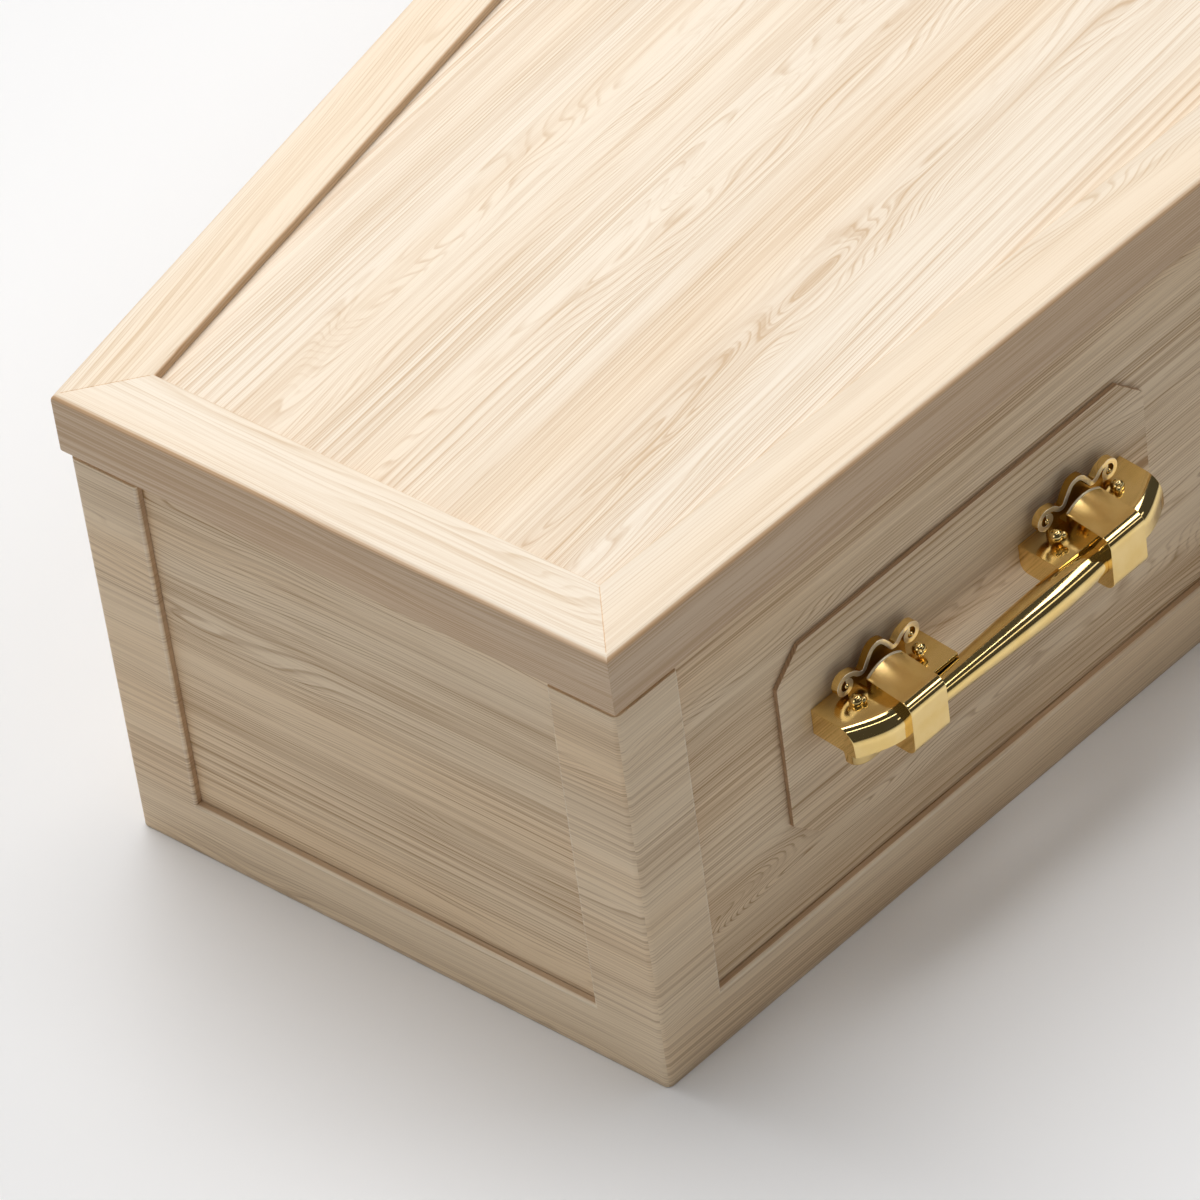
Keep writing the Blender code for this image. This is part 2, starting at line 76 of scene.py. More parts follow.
class CoffinSizes(bpy.types.PropertyGroup):
    """Sizes of the body and the lid."""
    body_length: length("Body length", "Over the end frames", 1.924)
    shoulder_to_head: length("Shoulder to head", "Along the middle", 0.680)
    foot_width: length("Foot width", "Over the side frames", 0.380)
    shoulder_width: length("Shoulder width", "Over the side frames", 0.640)
    head_width: length("Head width", "Over the side frames", 0.400)
    body_height: length("Body height", "Ground to the lid", 0.2925)
    frame_thickness: length("Frame thickness", "How far the posts and rails stand out", 0.005)
    frame_top: length("Frame top", "Height of the posts", 0.2874)
    post_width: length("Post width", "From the corner along a face", 0.047)
    rail_height: length("Rail height", "Bottom rail", 0.040)
    corner_radius: length("Corner radius", "Upright corners of the body", 0.004)
    frame_round: length("Frame edge radius", "Round edge beside each panel", 0.0018)
    frame_ease: length("Frame ease", "Eased top and bottom edges", 0.0007)
    lid_overhang: length("Lid overhang", "Past the frames", 0.003)
    lid_height: length("Lid height", "Height of the rim", 0.0425)
    rim_thickness: length("Rim thickness", "Wall of the lid's rim", 0.012)
    border_width: length("Border width", "Flat border of the lid", 0.0436)
    border_thickness: length("Border thickness", "Flat border of the lid", 0.006)
    lid_top_round: length("Lid top radius", "Outer edge of the border", 0.0042)
    lid_low_round: length("Lid lower radius", "Lower edge of the rim", 0.002)
    lid_inner_round: length("Lid inner radius", "Inner edge of the border", 0.0022)
    lid_corner_radius: length("Lid corner radius", "Upright corners of the rim", 0.003)
    mitre_width: length("Mitre width", "Half width of the joint line at each mitre", 0.00025)
    mitre_depth: length("Mitre depth", "Depth of the joint line", 0.00022)


class HandleSizes(bpy.types.PropertyGroup):
    """Sizes of the plates, brackets and bars, in the handle's own frame."""
    plate_length: length("Plate length", "Along the side", 0.2966)
    plate_height: length("Plate height", "Upright", 0.1435)
    plate_cut: length("Plate corner cut", "Along both edges", 0.0195)
    plate_thickness: length("Plate thickness", "Wood-grain board", 0.003)
    plate_drop: length("Plate drop", "Plate's middle below the bar", 0.0055)
    plate_ease: length("Plate ease", "Eased front edges", 0.0005)
    plate_to_post: length("Plate to post", "From the end post to the first plate", 0.0697)
    gap: length("Gap", "Clearance between neighbouring pieces", 0.0003)
    height: length("Bar height", "Above the ground", 0.168)
    strap_spacing: length("Strap spacing", "Middle to middle", 0.162)
    bar_radius: length("Bar radius", "At the middle", 0.0082)
    bar_end_radius: length("Bar end radius", "At the straps", 0.0075)
    bar_reach: length("Bar reach", "From the plate to the bar's middle", 0.034)
    socket_depth: length("Socket depth", "How far the bar runs into the strap", 0.010)
    socket_gap: length("Socket gap", "Around the bar", 0.0005)
    socket_flare: length("Socket flare", "Countersink at the mouth", 0.0009)
    strap_width: length("Strap width", "Along the bar", 0.028)
    strap_reach: length("Strap reach", "From the plate", 0.04585)
    strap_front_rise: length("Strap front rise", "Top of the strap at its front", 0.0205)
    strap_back_rise: length("Strap back rise", "Top of the strap at the hood", 0.0225)
    strap_fall: length("Strap fall", "Below the bar's middle", 0.018)
    strap_round: length("Strap top radius", "Upper front corner", 0.0075)
    strap_low_round: length("Strap lower radius", "Lower front corner", 0.0075)
    strap_back_round: length("Strap back radius", "Lower back corner", 0.011)
    strap_back: length("Strap back", "Back of the loop under the bar, from the plate", 0.020)
    strap_ease: length("Strap ease", "Rounded rims on both sides", 0.0021)
    block_length: length("Block length", "Outer block, from the strap's middle", 0.045)
    block_side_reach: length("Block side reach", "At its outer side", 0.0310)
    block_reach: length("Block reach", "At the strap", 0.0420)
    block_rise: length("Block rise", "Above the bar's middle", 0.015)
    block_fall: length("Block fall", "Below the bar's middle", 0.0032)
    nose_round: length("Nose radius", "Rounded top of the nose", 0.0105)
    inner_length: length("Inner block length", "From the strap's middle", 0.0400)
    inner_rise: length("Inner block rise", "Above the bar's middle", 0.0108)
    inner_reach: length("Inner block reach", "Over the bar, from the plate", 0.0300)
    inner_fall: length("Inner block fall", "Below the bar's middle", 0.008)
    inner_round: length("Inner block radius", "Lower back corner", 0.006)
    bar_to_block: length("Bar to block", "Space between the bar and its cradle", 0.0006)
    lug_length: length("Lug length", "From the strap's middle", 0.0405)
    lug_back: length("Lug back", "From the plate", 0.016)
    lug_reach: length("Lug reach", "From the plate", 0.0303)
    lug_fall: length("Lug fall", "Below the bar's middle", 0.0215)
    lug_corner: length("Lug corner radius", "Seen from above", 0.011)
    lug_round: length("Lug lower radius", "Rounded lower edge", 0.003)
    lug_taper: FloatProperty(name="Lug taper", description="Reach at its lower end, as a share",
                             default=0.66, min=0.1, max=1.0)
    lug_narrowing: FloatProperty(name="Lug narrowing", description="Length at its lower end, as a share",
                                 default=0.94, min=0.1, max=1.0)
    small_ease: length("Small ease", "Fine edges of the casting", 0.0005)
    crest_back: length("Crest back", "From the plate", 0.0052)
    crest_field: length("Crest field", "Sunk field behind the ribbon", 0.0070)
    crest_front: length("Crest front", "Front of the ribbon", 0.0096)
    crest_peak: length("Crest peak", "Above the bar's middle", 0.0375)
    ribbon_width: length("Ribbon width", "Rounded ribbon of the crest", 0.0033)
    volute_offset: length("Volute offset", "From the strap's middle", 0.0256)
    volute_height: length("Volute height", "Above the bar's middle", 0.0238)
    volute_radius: length("Volute radius", "Outer turn, at the ribbon's middle", 0.0064)
    volute_core: length("Volute core", "Inner turn, at the ribbon's middle", 0.0028)
    eye_radius: length("Eye radius", "Bead in the volute", 0.0016)
    curl_radius: length("Curl radius", "Ball below each volute", 0.0043)
    curl_offset: length("Curl offset", "From the strap's middle", 0.0252)
    curl_reach: length("Curl reach", "From the plate", 0.0155)
    curl_height: length("Curl height", "Above the bar's middle", 0.0165)
    hood_back: length("Hood back", "From the plate", 0.0130)
    hood_front: length("Hood front", "Where the arch has run out into the strap", 0.0370)
    hood_half_width: length("Hood half width", "Arched hood over the strap", 0.0132)
    hood_rise: length("Hood rise", "Arch above the strap", 0.0045)
    lip_width: length("Lip width", "Fine raised rim along the hood", 0.0014)
    lip_rise: length("Lip rise", "Above the hood", 0.0005)
    pocket_floor: length("Pocket floor", "Hollow behind the hood, above the bar's middle", 0.0162)
    berry_radius: length("Berry radius", "Beads in the sunk field", 0.0013)


class CoffinColours(bpy.types.PropertyGroup):
    """Colours of the finishes."""
    lid_light: colour("Lid light", "Early wood on the lid", (0.91, 0.80, 0.66))
    lid_dark: colour("Lid dark", "Late wood on the lid", (0.67, 0.49, 0.32))
    border_dark: colour("Border dark", "Late wood on the lid's border", (0.73, 0.57, 0.40))
    # Painted shade: multiplied over the lid's print on its upright faces.
    lid_side_shade: colour("Lid side tint", "Over the lid's print where it turns down", (0.80, 0.70, 0.60))
    body_light: colour("Body light", "Early wood on the body", (0.88, 0.71, 0.50))
    body_dark: colour("Body dark", "Late wood on the body", (0.44, 0.265, 0.118))
    frame_dark: colour("Frame dark", "Late wood on the posts and the rail", (0.54, 0.375, 0.225))
    # Painted shade: darker print on the posts' inner side walls, the rail's top and the plates' edges.
    wall_shade_light: colour("Side light", "Early wood on the inner sides of the posts", (0.64, 0.46, 0.30))
    edge_shade_light: colour("Cut light", "Early wood on the plates' cut edges", (0.50, 0.33, 0.20))
    edge_shade_dark: colour("Cut dark", "Late wood on the plates' cut edges", (0.28, 0.17, 0.09))
    # Painted highlight: paler print on the rounded edges of the posts and rail.
    edge_highlight_light: colour("Worn light", "Early wood on rubbed edges", (0.94, 0.80, 0.61))
    edge_highlight_dark: colour("Worn dark", "Late wood on rubbed edges", (0.54, 0.38, 0.24))
    board: colour("Board", "Unprinted brown board", (0.42, 0.29, 0.17))
    gilt: colour("Gilt", "Plated fittings", (0.93, 0.70, 0.31))
    floor: colour("Floor", "Studio floor", (0.93, 0.93, 0.935))


class StudioSettings(bpy.types.PropertyGroup):
    """Camera, lights and floor."""
    azimuth: FloatProperty(name="Azimuth", description="Camera direction, 0 looks along +Y",
                           default=math.radians(-46.24), subtype="ANGLE")
    elevation: FloatProperty(name="Elevation", description="Camera above the horizon",
                             default=math.radians(43.86), subtype="ANGLE")
    roll: FloatProperty(name="Roll", description="Camera turn about its own axis",
                        default=math.radians(-8.29), subtype="ANGLE")
    place: FloatVectorProperty(name="Camera place", description="Where the camera stands", size=3,
                               default=(-3.3685, -2.4958, 3.5778), subtype="TRANSLATION", unit="LENGTH")
    lens: FloatProperty(name="Lens", description="Focal length on a 36 mm sensor", default=267.8, min=1.0)
    floor_size: length("Floor size", "Side of the floor", 30.0)
    key_power: FloatProperty(name="Key power", description="Large overhead softbox, watts", default=99.0)
    strip_power: FloatProperty(name="Strip power", description="Softbox over the right side, watts",
                               default=22.0)
    low_power: FloatProperty(name="Low power", description="Narrow softbox low over the right side, watts",
                             default=4.0)
    front_power: FloatProperty(name="Front power", description="Long narrow softbox near the camera, watts",
                               default=6.0)
    fill_power: FloatProperty(name="Fill power", description="Softbox at the foot end, watts",
                              default=20.0)
    room_light: FloatProperty(name="Room light", description="Strength of the even light", default=0.06)


class Plan:
    """Six-sided plan of the coffin, over the outer faces of its frames."""

    def __init__(self, sizes):
        half = sizes.body_length / 2
        shoulder = half - sizes.shoulder_to_head
        right = [(-half, -sizes.foot_width / 2), (shoulder, -sizes.shoulder_width / 2),
                 (half, -sizes.head_width / 2)]
        left = [(x, -y) for x, y in reversed(right)]
        self.corners = [Vector(point) for point in right + left]
        self.faces = len(self.corners)

    def direction(self, face):
        return (self.corners[(face + 1) % self.faces] - self.corners[face]).normalized()

    def face_length(self, face):
        return (self.corners[(face + 1) % self.faces] - self.corners[face]).length

    def start(self, face):
        """Distance round the plan from the first corner to the start of a face."""
        return sum(self.face_length(before) for before in range(face))

    def inward(self, face):
        direction = self.direction(face)
        return Vector((-direction.y, direction.x))

    def point(self, face, along, depth, height):
        flat = self.corners[face] + self.direction(face) * along + self.inward(face) * depth
        return Vector((flat.x, flat.y, height))

    def corner(self, corner, depth, height):
        """Corner of the plan moved inwards along its mitre."""
        turn = self.direction((corner - 1) % self.faces).angle(self.direction(corner))
        return self.point(corner, depth * math.tan(turn / 2), depth, height)

    def measure(self, face, point):
        """Distance along a face, and depth behind it, of a point."""
        offset = point.to_2d() - self.corners[face]
        return offset.dot(self.direction(face)), offset.dot(self.inward(face))

    def nearest(self, point):
        """The face in whose mitred sector a point lies."""
        return min(range(self.faces), key=lambda face: self.measure(face, point)[1])


def deselect():
    bpy.ops.object.select_all(action="DESELECT")


def activate(piece):
    deselect()
    piece.select_set(True)
    bpy.context.view_layer.objects.active = piece


def edit(piece):
    activate(piece)
    bpy.ops.object.mode_set(mode="EDIT")


def leave_edit():
    bpy.ops.object.mode_set(mode="OBJECT")


def choose(piece, kind, test):
    """Select the vertices, edges or faces that pass a test, in edit mode."""
    bpy.ops.mesh.select_mode(type=kind)
    bpy.ops.mesh.select_all(action="DESELECT")
    shape = bmesh.from_edit_mesh(piece.data)
    elements = {"VERT": shape.verts, "EDGE": shape.edges, "FACE": shape.faces}[kind]
    count = 0
    for element in elements:
        if test(element):
            element.select_set(True)
            count += 1
    bmesh.update_edit_mesh(piece.data)
    if count == 0:
        raise RuntimeError("nothing to select on " + piece.name)


def choose_all():
    bpy.ops.mesh.select_all(action="SELECT")


def turn_outwards():
    """Turn all faces of the piece in edit mode outwards."""
    choose_all()
    bpy.ops.mesh.normals_make_consistent(inside=False)


def apply_place():
    """Move the place, turn and scale of the active piece into its mesh."""
    bpy.ops.object.transform_apply(location=True, rotation=True, scale=True)


def middle(edge):
    return (edge.verts[0].co + edge.verts[1].co) / 2


def run_of(edge):
    return (edge.verts[1].co - edge.verts[0].co).normalized()


def sharpness(edge):
    """Angle between the two faces at an edge."""
    if len(edge.link_faces) != 2:
        return 0.0
    return edge.link_faces[0].normal.angle(edge.link_faces[1].normal, 0.0)


def bevel(width, segments):
    bpy.ops.mesh.bevel(offset=width, offset_type="OFFSET", segments=segments, profile=0.5,
                       affect="EDGES", clamp_overlap=True)


def extrude(vector):
    bpy.ops.mesh.extrude_region_move(TRANSFORM_OT_translate={"value": vector})


def add_outline(name, points, filled=True):
    """Flat outline: a circle with one vertex for each corner, each moved to its place."""
    deselect()
    bpy.ops.mesh.primitive_circle_add(vertices=len(points), radius=1.0,
                                      fill_type="NGON" if filled else "NOTHING")
    piece = bpy.context.object
    piece.name = piece.data.name = name
    for vertex, point in zip(piece.data.vertices, points):
        vertex.co = point
    return piece


def add_box(name, low, high):
    """Box between two corners, with its place in its mesh."""
    deselect()
    low, high = Vector(low), Vector(high)
    bpy.ops.mesh.primitive_cube_add(size=1.0, location=(low + high) / 2, scale=high - low)
    piece = bpy.context.object
    piece.name = piece.data.name = name
    apply_place()
    return piece


def make_room(piece, finishes):
    """Give a piece as many material places as it has finishes."""
    while len(piece.data.materials) < finishes:
        piece.data.materials.append(None)


def finish_faces(piece, finish):
    """Give all faces of a part one of the casting's finishes; joining the parts keeps it."""
    make_room(piece, RECESS_SHADE + 1)
    for polygon in piece.data.polygons:
        polygon.material_index = finish


def add_cylinder(name, vertices, radius, depth, centre, turn=(0.0, math.pi / 2, 0.0)):
    """Cylinder along X, or along the axis it is turned to, with its place in its mesh."""
    deselect()
    bpy.ops.mesh.primitive_cylinder_add(vertices=vertices, radius=radius, depth=depth,
                                        location=centre, rotation=turn)
    piece = bpy.context.object
    piece.name = piece.data.name = name
    apply_place()
    return piece


def add_ball(name, centre, radius, squash=(1.0, 1.0, 1.0)):
    deselect()
    bpy.ops.mesh.primitive_uv_sphere_add(segments=24, ring_count=14, radius=radius,
                                         location=centre, scale=squash)
    piece = bpy.context.object
    piece.name = piece.data.name = name
    apply_place()
    return piece


def apply_modifier(piece, kind, **settings):
    """Add a modifier, set it and apply it."""
    activate(piece)
    bpy.ops.object.modifier_add(type=kind)
    modifier = piece.modifiers[-1]
    for name, value in settings.items():
        setattr(modifier, name, value)
    bpy.ops.object.modifier_apply(modifier=modifier.name)


def combine(piece, other, operation):
    """Join another closed shape to a piece, or cut it away, and drop the other."""
    apply_modifier(piece, "BOOLEAN", operation=operation, object=other, solver="EXACT")
    bpy.data.objects.remove(other, do_unlink=True)


def face_outwards(piece):
    edit(piece)
    choose_all()
    bpy.ops.mesh.remove_doubles(threshold=NEAR)
    turn_outwards()
    leave_edit()


def smooth(piece, degrees=32.0):
    """Smooth shading that keeps the flats flat and the sharp edges sharp."""
    activate(piece)
    bpy.ops.object.shade_smooth_by_angle(angle=math.radians(degrees))
    apply_modifier(piece, "WEIGHTED_NORMAL", mode="FACE_AREA", weight=100, keep_sharp=True)


def lay_grain(piece, rule):
    """Give every corner of a piece its place on the grain, in metres: (along, across)."""
    layer = piece.data.uv_layers.get(GRAIN_MAP) or piece.data.uv_layers.new(name=GRAIN_MAP)
    for polygon in piece.data.polygons:
        for loop in polygon.loop_indices:
            point = piece.data.vertices[piece.data.loops[loop].vertex_index].co
            layer.data[loop].uv = rule(polygon, point)


def dress(piece, materials):
    """Give a piece its materials and its body."""
    finishes = [polygon.material_index for polygon in piece.data.polygons]
    piece.data.materials.clear()
    for material in materials:
        piece.data.materials.append(material)
    if len(materials) > 1:
        for polygon, finish in zip(piece.data.polygons, finishes):
            polygon.material_index = finish
    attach(piece, BODY)


def placed_copy(source, name, matrix):
    """Copy with its own mesh, moved into place within that mesh."""
    copy = source.copy()
    copy.data = source.data.copy()
    copy.name = copy.data.name = name
    bpy.context.scene.collection.objects.link(copy)
    copy.matrix_world = matrix
    activate(copy)
    apply_place()
    return copy


def arc(centre, radius, start, end, steps):
    """Points on a circle in a plane, angles in degrees."""
    points = []
    for step in range(steps + 1):
        angle = math.radians(start + (end - start) * step / steps)
        points.append((centre[0] + radius * math.cos(angle), centre[1] + radius * math.sin(angle)))
    return points


def add_node(tree, kind, settings=None, **inputs):
    """Shader node with its settings, and its inputs by name, each a value or a socket."""
    node = tree.nodes.new(kind)
    for name, value in (settings or {}).items():
        setattr(node, name, value)
    for name, value in inputs.items():
        socket = node.inputs[name.replace("_", " ")]
        if isinstance(value, bpy.types.NodeSocket):
            tree.links.new(value, socket)
        else:
            socket.default_value = value
    return node


def calculate(tree, operation, first, second=0.0):
    """Math node on two values or sockets."""
    node = tree.nodes.new("ShaderNodeMath")
    node.operation = operation
    for socket, value in zip(node.inputs, (first, second)):
        if isinstance(value, bpy.types.NodeSocket):
            tree.links.new(value, socket)
        else:
            socket.default_value = value
    return node.outputs[0]


def stretch(tree, value, low, high, to_low=0.0, to_high=1.0):
    """Map Range node, smooth between its ends."""
    node = add_node(tree, "ShaderNodeMapRange", {"interpolation_type": "SMOOTHSTEP"}, Value=value)
    for name, number in (("From Min", low), ("From Max", high), ("To Min", to_low), ("To Max", to_high)):
        node.inputs[name].default_value = number
    return node.outputs["Result"]


def streaks(tree, vector, along, across, detail=2.0, seed=0.0):
    """Noise drawn out along the grain, by its scale along and across it."""
    spot = add_node(tree, "ShaderNodeMapping", Vector=vector)
    spot.inputs["Scale"].default_value = (along, across, 1.0)
    spot.inputs["Location"].default_value = (seed, seed * 1.7, seed)
    noise = add_node(tree, "ShaderNodeTexNoise", Vector=spot.outputs[0], Scale=1.0, Detail=detail,
                     Roughness=0.55)
    return noise.outputs["Fac"]


def new_material(name):
    material = bpy.data.materials.new(name)
    material.use_nodes = True
    tree = material.node_tree
    return material, tree, tree.nodes["Principled BSDF"]


def grain_vector(tree, source):
    """Grain coordinates in metres: a piece's own grain map, or two axes of the object."""
    if source == GRAIN_MAP:
        return add_node(tree, "ShaderNodeUVMap", {"uv_map": GRAIN_MAP}).outputs["UV"]
    place = add_node(tree, "ShaderNodeTexCoord").outputs["Object"]
    parts = add_node(tree, "ShaderNodeSeparateXYZ", Vector=place)
    joined = tree.nodes.new("ShaderNodeCombineXYZ")
    tree.links.new(parts.outputs[source[0]], joined.inputs["X"])
    tree.links.new(parts.outputs[source[1]], joined.inputs["Y"])
    return joined.outputs[0]


def blend(tree, share, first, second, mode="MIX"):
    """Mix of two colours, each a value or a socket."""
    mix = add_node(tree, "ShaderNodeMix", {"data_type": "RGBA", "blend_type": mode})
    for index, value in ((0, share), (6, first), (7, second)):
        if isinstance(value, bpy.types.NodeSocket):
            tree.links.new(value, mix.inputs[index])
        else:
            mix.inputs[index].default_value = value
    return mix.outputs[2]


def fine_line(tree, phase, start, sharp):
    """Thin dark line once in every turn of a phase, soft on one side and crisp on the other."""
    ring = calculate(tree, "FRACT", phase)
    return calculate(tree, "MULTIPLY", stretch(tree, ring, start, sharp),
                     stretch(tree, ring, sharp, 1.0, 1.0, 0.0))


def wood_print(name, source, light, dark, seed, figure=1.0, darker_at_bottom=False, side_shade=None):
    """Satin wood-grain print: rings with flame figures, fine lines, broad bands and fibres; optionally
    painted shade on the faces that turn down from the top.
    """
    material, tree, shader = new_material(name)
    vector = grain_vector(tree, source)
    across = add_node(tree, "ShaderNodeSeparateXYZ", Vector=vector).outputs["Y"]

    wander = calculate(tree, "MULTIPLY", streaks(tree, vector, 1.1, 6.0, 1.0, seed), 0.036)
    ripple = calculate(tree, "MULTIPLY", streaks(tree, vector, 16.0, 60.0, 2.0, seed + 3.0), 0.0016)
    place = stretch(tree, streaks(tree, vector, 2.6, 15.0, 1.0, seed + 5.0), 0.50, 0.68)
    flame = calculate(tree, "MULTIPLY", streaks(tree, vector, 6.5, 44.0, 1.0, seed + 9.0), 0.040 * figure)
    bent = calculate(tree, "ADD", across, calculate(tree, "ADD", wander, ripple))
    bent = calculate(tree, "ADD", bent, calculate(tree, "MULTIPLY", flame, place))

    rings = fine_line(tree, calculate(tree, "MULTIPLY", bent, RINGS_PER_METRE), 0.44, 0.90)
    lines = fine_line(tree, calculate(tree, "MULTIPLY", bent, LINES_PER_METRE), 0.50, 0.86)
    rings_here = stretch(tree, streaks(tree, vector, 1.4, 20.0, 2.0, seed + 7.0), 0.44, 0.62, 0.10, 1.0)
    lines_here = stretch(tree, streaks(tree, vector, 3.2, 70.0, 2.0, seed + 13.0), 0.36, 0.66, 0.15, 1.0)
    rings = calculate(tree, "MULTIPLY", rings, rings_here)
    lines = calculate(tree, "MULTIPLY", lines, lines_here)

    streak = stretch(tree, streaks(tree, vector, 3.5, 300.0, 3.0, seed + 11.0), 0.40, 0.68)
    hair = stretch(tree, streaks(tree, vector, 14.0, 1100.0, 2.0, seed + 17.0), 0.45, 0.75)
    band = stretch(tree, streaks(tree, vector, 0.9, 30.0, 2.0, seed + 23.0), 0.40, 0.66)
    speck = streaks(tree, vector, 1500.0, 2600.0, 1.0, seed)

    total = calculate(tree, "MULTIPLY", rings, 0.54)
    for part, weight in ((lines, 0.64), (streak, 0.30), (hair, 0.36), (band, 0.27), (speck, 0.22)):
        total = calculate(tree, "ADD", total, calculate(tree, "MULTIPLY", part, weight))
    total = calculate(tree, "SUBTRACT", total, 0.25)
    # Painted shade: faces turned away from the top get stronger, darker grain.
    if side_shade:
        facing = add_node(tree, "ShaderNodeTexCoord").outputs["Normal"]
        level = add_node(tree, "ShaderNodeSeparateXYZ", Vector=facing).outputs["Z"]
        upright = stretch(tree, level, 0.25, 0.95, 1.0, 0.0)
        total = calculate(tree, "MULTIPLY", total, calculate(tree, "ADD", upright, 1.0))

    paint = blend(tree, total, (*light, 1.0), (*dark, 1.0))
    warmth = stretch(tree, streaks(tree, vector, 1.5, 14.0, 1.0, seed + 31.0), 0.42, 0.72, 0.0, 0.7)
    paint = blend(tree, warmth, paint, (1.0, 0.93, 0.84, 1.0), "MULTIPLY")
    # Painted shade: a darker tint on upright faces, and a darker band along the rounding between top and
    # side.
    if side_shade:
        paint = blend(tree, upright, paint, (*side_shade, 1.0), "MULTIPLY")
        fold = calculate(tree, "MULTIPLY", stretch(tree, level, 0.15, 0.50),
                         stretch(tree, level, 0.70, 0.98, 1.0, 0.0))
        paint = blend(tree, fold, paint, (1.0, 0.88, 0.76, 1.0), "MULTIPLY")
    # Up to 35 % towards the darker grain colour in the lowest 6 to 9 mm of the grain map, with a ragged
    # upper edge.
    if darker_at_bottom:
        ragged_height = calculate(tree, "ADD", across, calculate(
            tree, "MULTIPLY", streaks(tree, vector, 60.0, 120.0, 3.0, seed + 41.0), 0.012))
        bottom_darkening = stretch(tree, ragged_height, 0.006, 0.009, 0.35, 0.0)
        paint = blend(tree, bottom_darkening, paint, (*[value * 0.8 for value in dark], 1.0))
    tree.links.new(paint, shader.inputs["Base Color"])

    sheen = calculate(tree, "ADD", calculate(tree, "MULTIPLY", hair, 0.10),
                      calculate(tree, "MULTIPLY", band, 0.06))
    tree.links.new(calculate(tree, "ADD", sheen, 0.44), shader.inputs["Roughness"])
    shader.inputs["Specular IOR Level"].default_value = 0.35
    height = calculate(tree, "ADD", hair, calculate(tree, "MULTIPLY", speck, 0.5))
    bump = add_node(tree, "ShaderNodeBump", {"invert": True}, Strength=0.20, Distance=0.0002,
                    Height=height)
    tree.links.new(bump.outputs["Normal"], shader.inputs["Normal"])
    return material


def brown_board(name, tint):
    """Unprinted board with flecks of fibre and faint flutes."""
    material, tree, shader = new_material(name)
    place = add_node(tree, "ShaderNodeTexCoord").outputs["Object"]
    fleck = stretch(tree, streaks(tree, place, 260.0, 900.0, 3.0, 2.0), 0.42, 0.70)
    cloud = streaks(tree, place, 6.0, 6.0, 3.0, 5.0)
    share = calculate(tree, "ADD", calculate(tree, "MULTIPLY", fleck, 0.4),
                      calculate(tree, "MULTIPLY", cloud, 0.5))
    paint = blend(tree, share, (*tint, 1.0), (*[value * 0.62 for value in tint], 1.0))
    tree.links.new(paint, shader.inputs["Base Color"])
    tree.links.new(stretch(tree, fleck, 0.0, 1.0, 0.78, 0.92), shader.inputs["Roughness"])
    flute = add_node(tree, "ShaderNodeTexWave", {"bands_direction": "X"}, Vector=place, Scale=110.0,
                     Distortion=0.4)
    height = calculate(tree, "ADD", calculate(tree, "MULTIPLY", flute.outputs["Fac"], 0.6), fleck)
    bump = add_node(tree, "ShaderNodeBump", Strength=0.4, Distance=0.0002, Height=height)
    tree.links.new(bump.outputs["Normal"], shader.inputs["Normal"])
    return material


def gilt_plating(name, tint, satin=0.0, flats=0.0, painted_highlight=0.0):
    """Gilt with duller patches, rougher on the flats that face up, and paler and less metallic as a painted
    highlight.
    """
    material, tree, shader = new_material(name)
    # Painted highlight: the tint is lifted towards white and part of the metal turned diffuse, so the part
    # reads bright whatever it reflects.
    tint = [value + (1.0 - value) * painted_highlight * 2.2 for value in tint]
    texture = add_node(tree, "ShaderNodeTexCoord")
    place = texture.outputs["Object"]
    patch = add_node(tree, "ShaderNodeTexNoise", Vector=place, Scale=60.0, Detail=3.0).outputs["Fac"]
    fine = add_node(tree, "ShaderNodeTexNoise", Vector=place, Scale=1400.0, Detail=2.0).outputs["Fac"]
    browner = (tint[0] * 0.95, tint[1] * 0.91, tint[2] * 0.80, 1.0)
    paint = blend(tree, stretch(tree, patch, 0.35, 0.70), (*tint, 1.0), browner)
    tree.links.new(paint, shader.inputs["Base Color"])
    shader.inputs["Metallic"].default_value = 1.0 - painted_highlight
    level = add_node(tree, "ShaderNodeSeparateXYZ", Vector=texture.outputs["Normal"]).outputs["Z"]
    brushed = stretch(tree, level, 0.96, 0.99, satin, satin + flats)
    dull = calculate(tree, "ADD", calculate(tree, "MULTIPLY", patch, 0.05),
                     calculate(tree, "MULTIPLY", fine, 0.04))
    dull = calculate(tree, "ADD", dull, calculate(tree, "ADD", brushed, 0.03))
    tree.links.new(dull, shader.inputs["Roughness"])
    bump = add_node(tree, "ShaderNodeBump", Strength=0.05, Distance=0.0001, Height=fine)
    tree.links.new(bump.outputs["Normal"], shader.inputs["Normal"])
    return material


def boards_of_the_frame(colours):
    """Flat boards carried over from the frame, each with its own run of grain."""
    body = (colours.body_light, colours.body_dark)
    lid = (colours.lid_light, colours.lid_dark)
    looks = {"floor_board": (brown_board("plain_board", colours.board), "plain_board")}
    for node, name, axes, (light, dark), seed, figure in (
            ("foot_board", "foot_panel_print", "YZ", body, 4.0, 0.65),
            ("head_board", "head_panel_print", "YZ", body, 9.0, 0.8),
            ("right_side_board", "right_panel_print", "XZ", body, 14.0, 1.0),
            ("left_side_board", "left_panel_print", "XZ", body, 19.0, 1.0),
            ("lid_panel", "lid_panel_print", "XY", lid, 24.0, 1.0)):
        looks[node] = (wood_print(name, axes, light, dark, seed, figure), "wood_grain_board")
    return looks


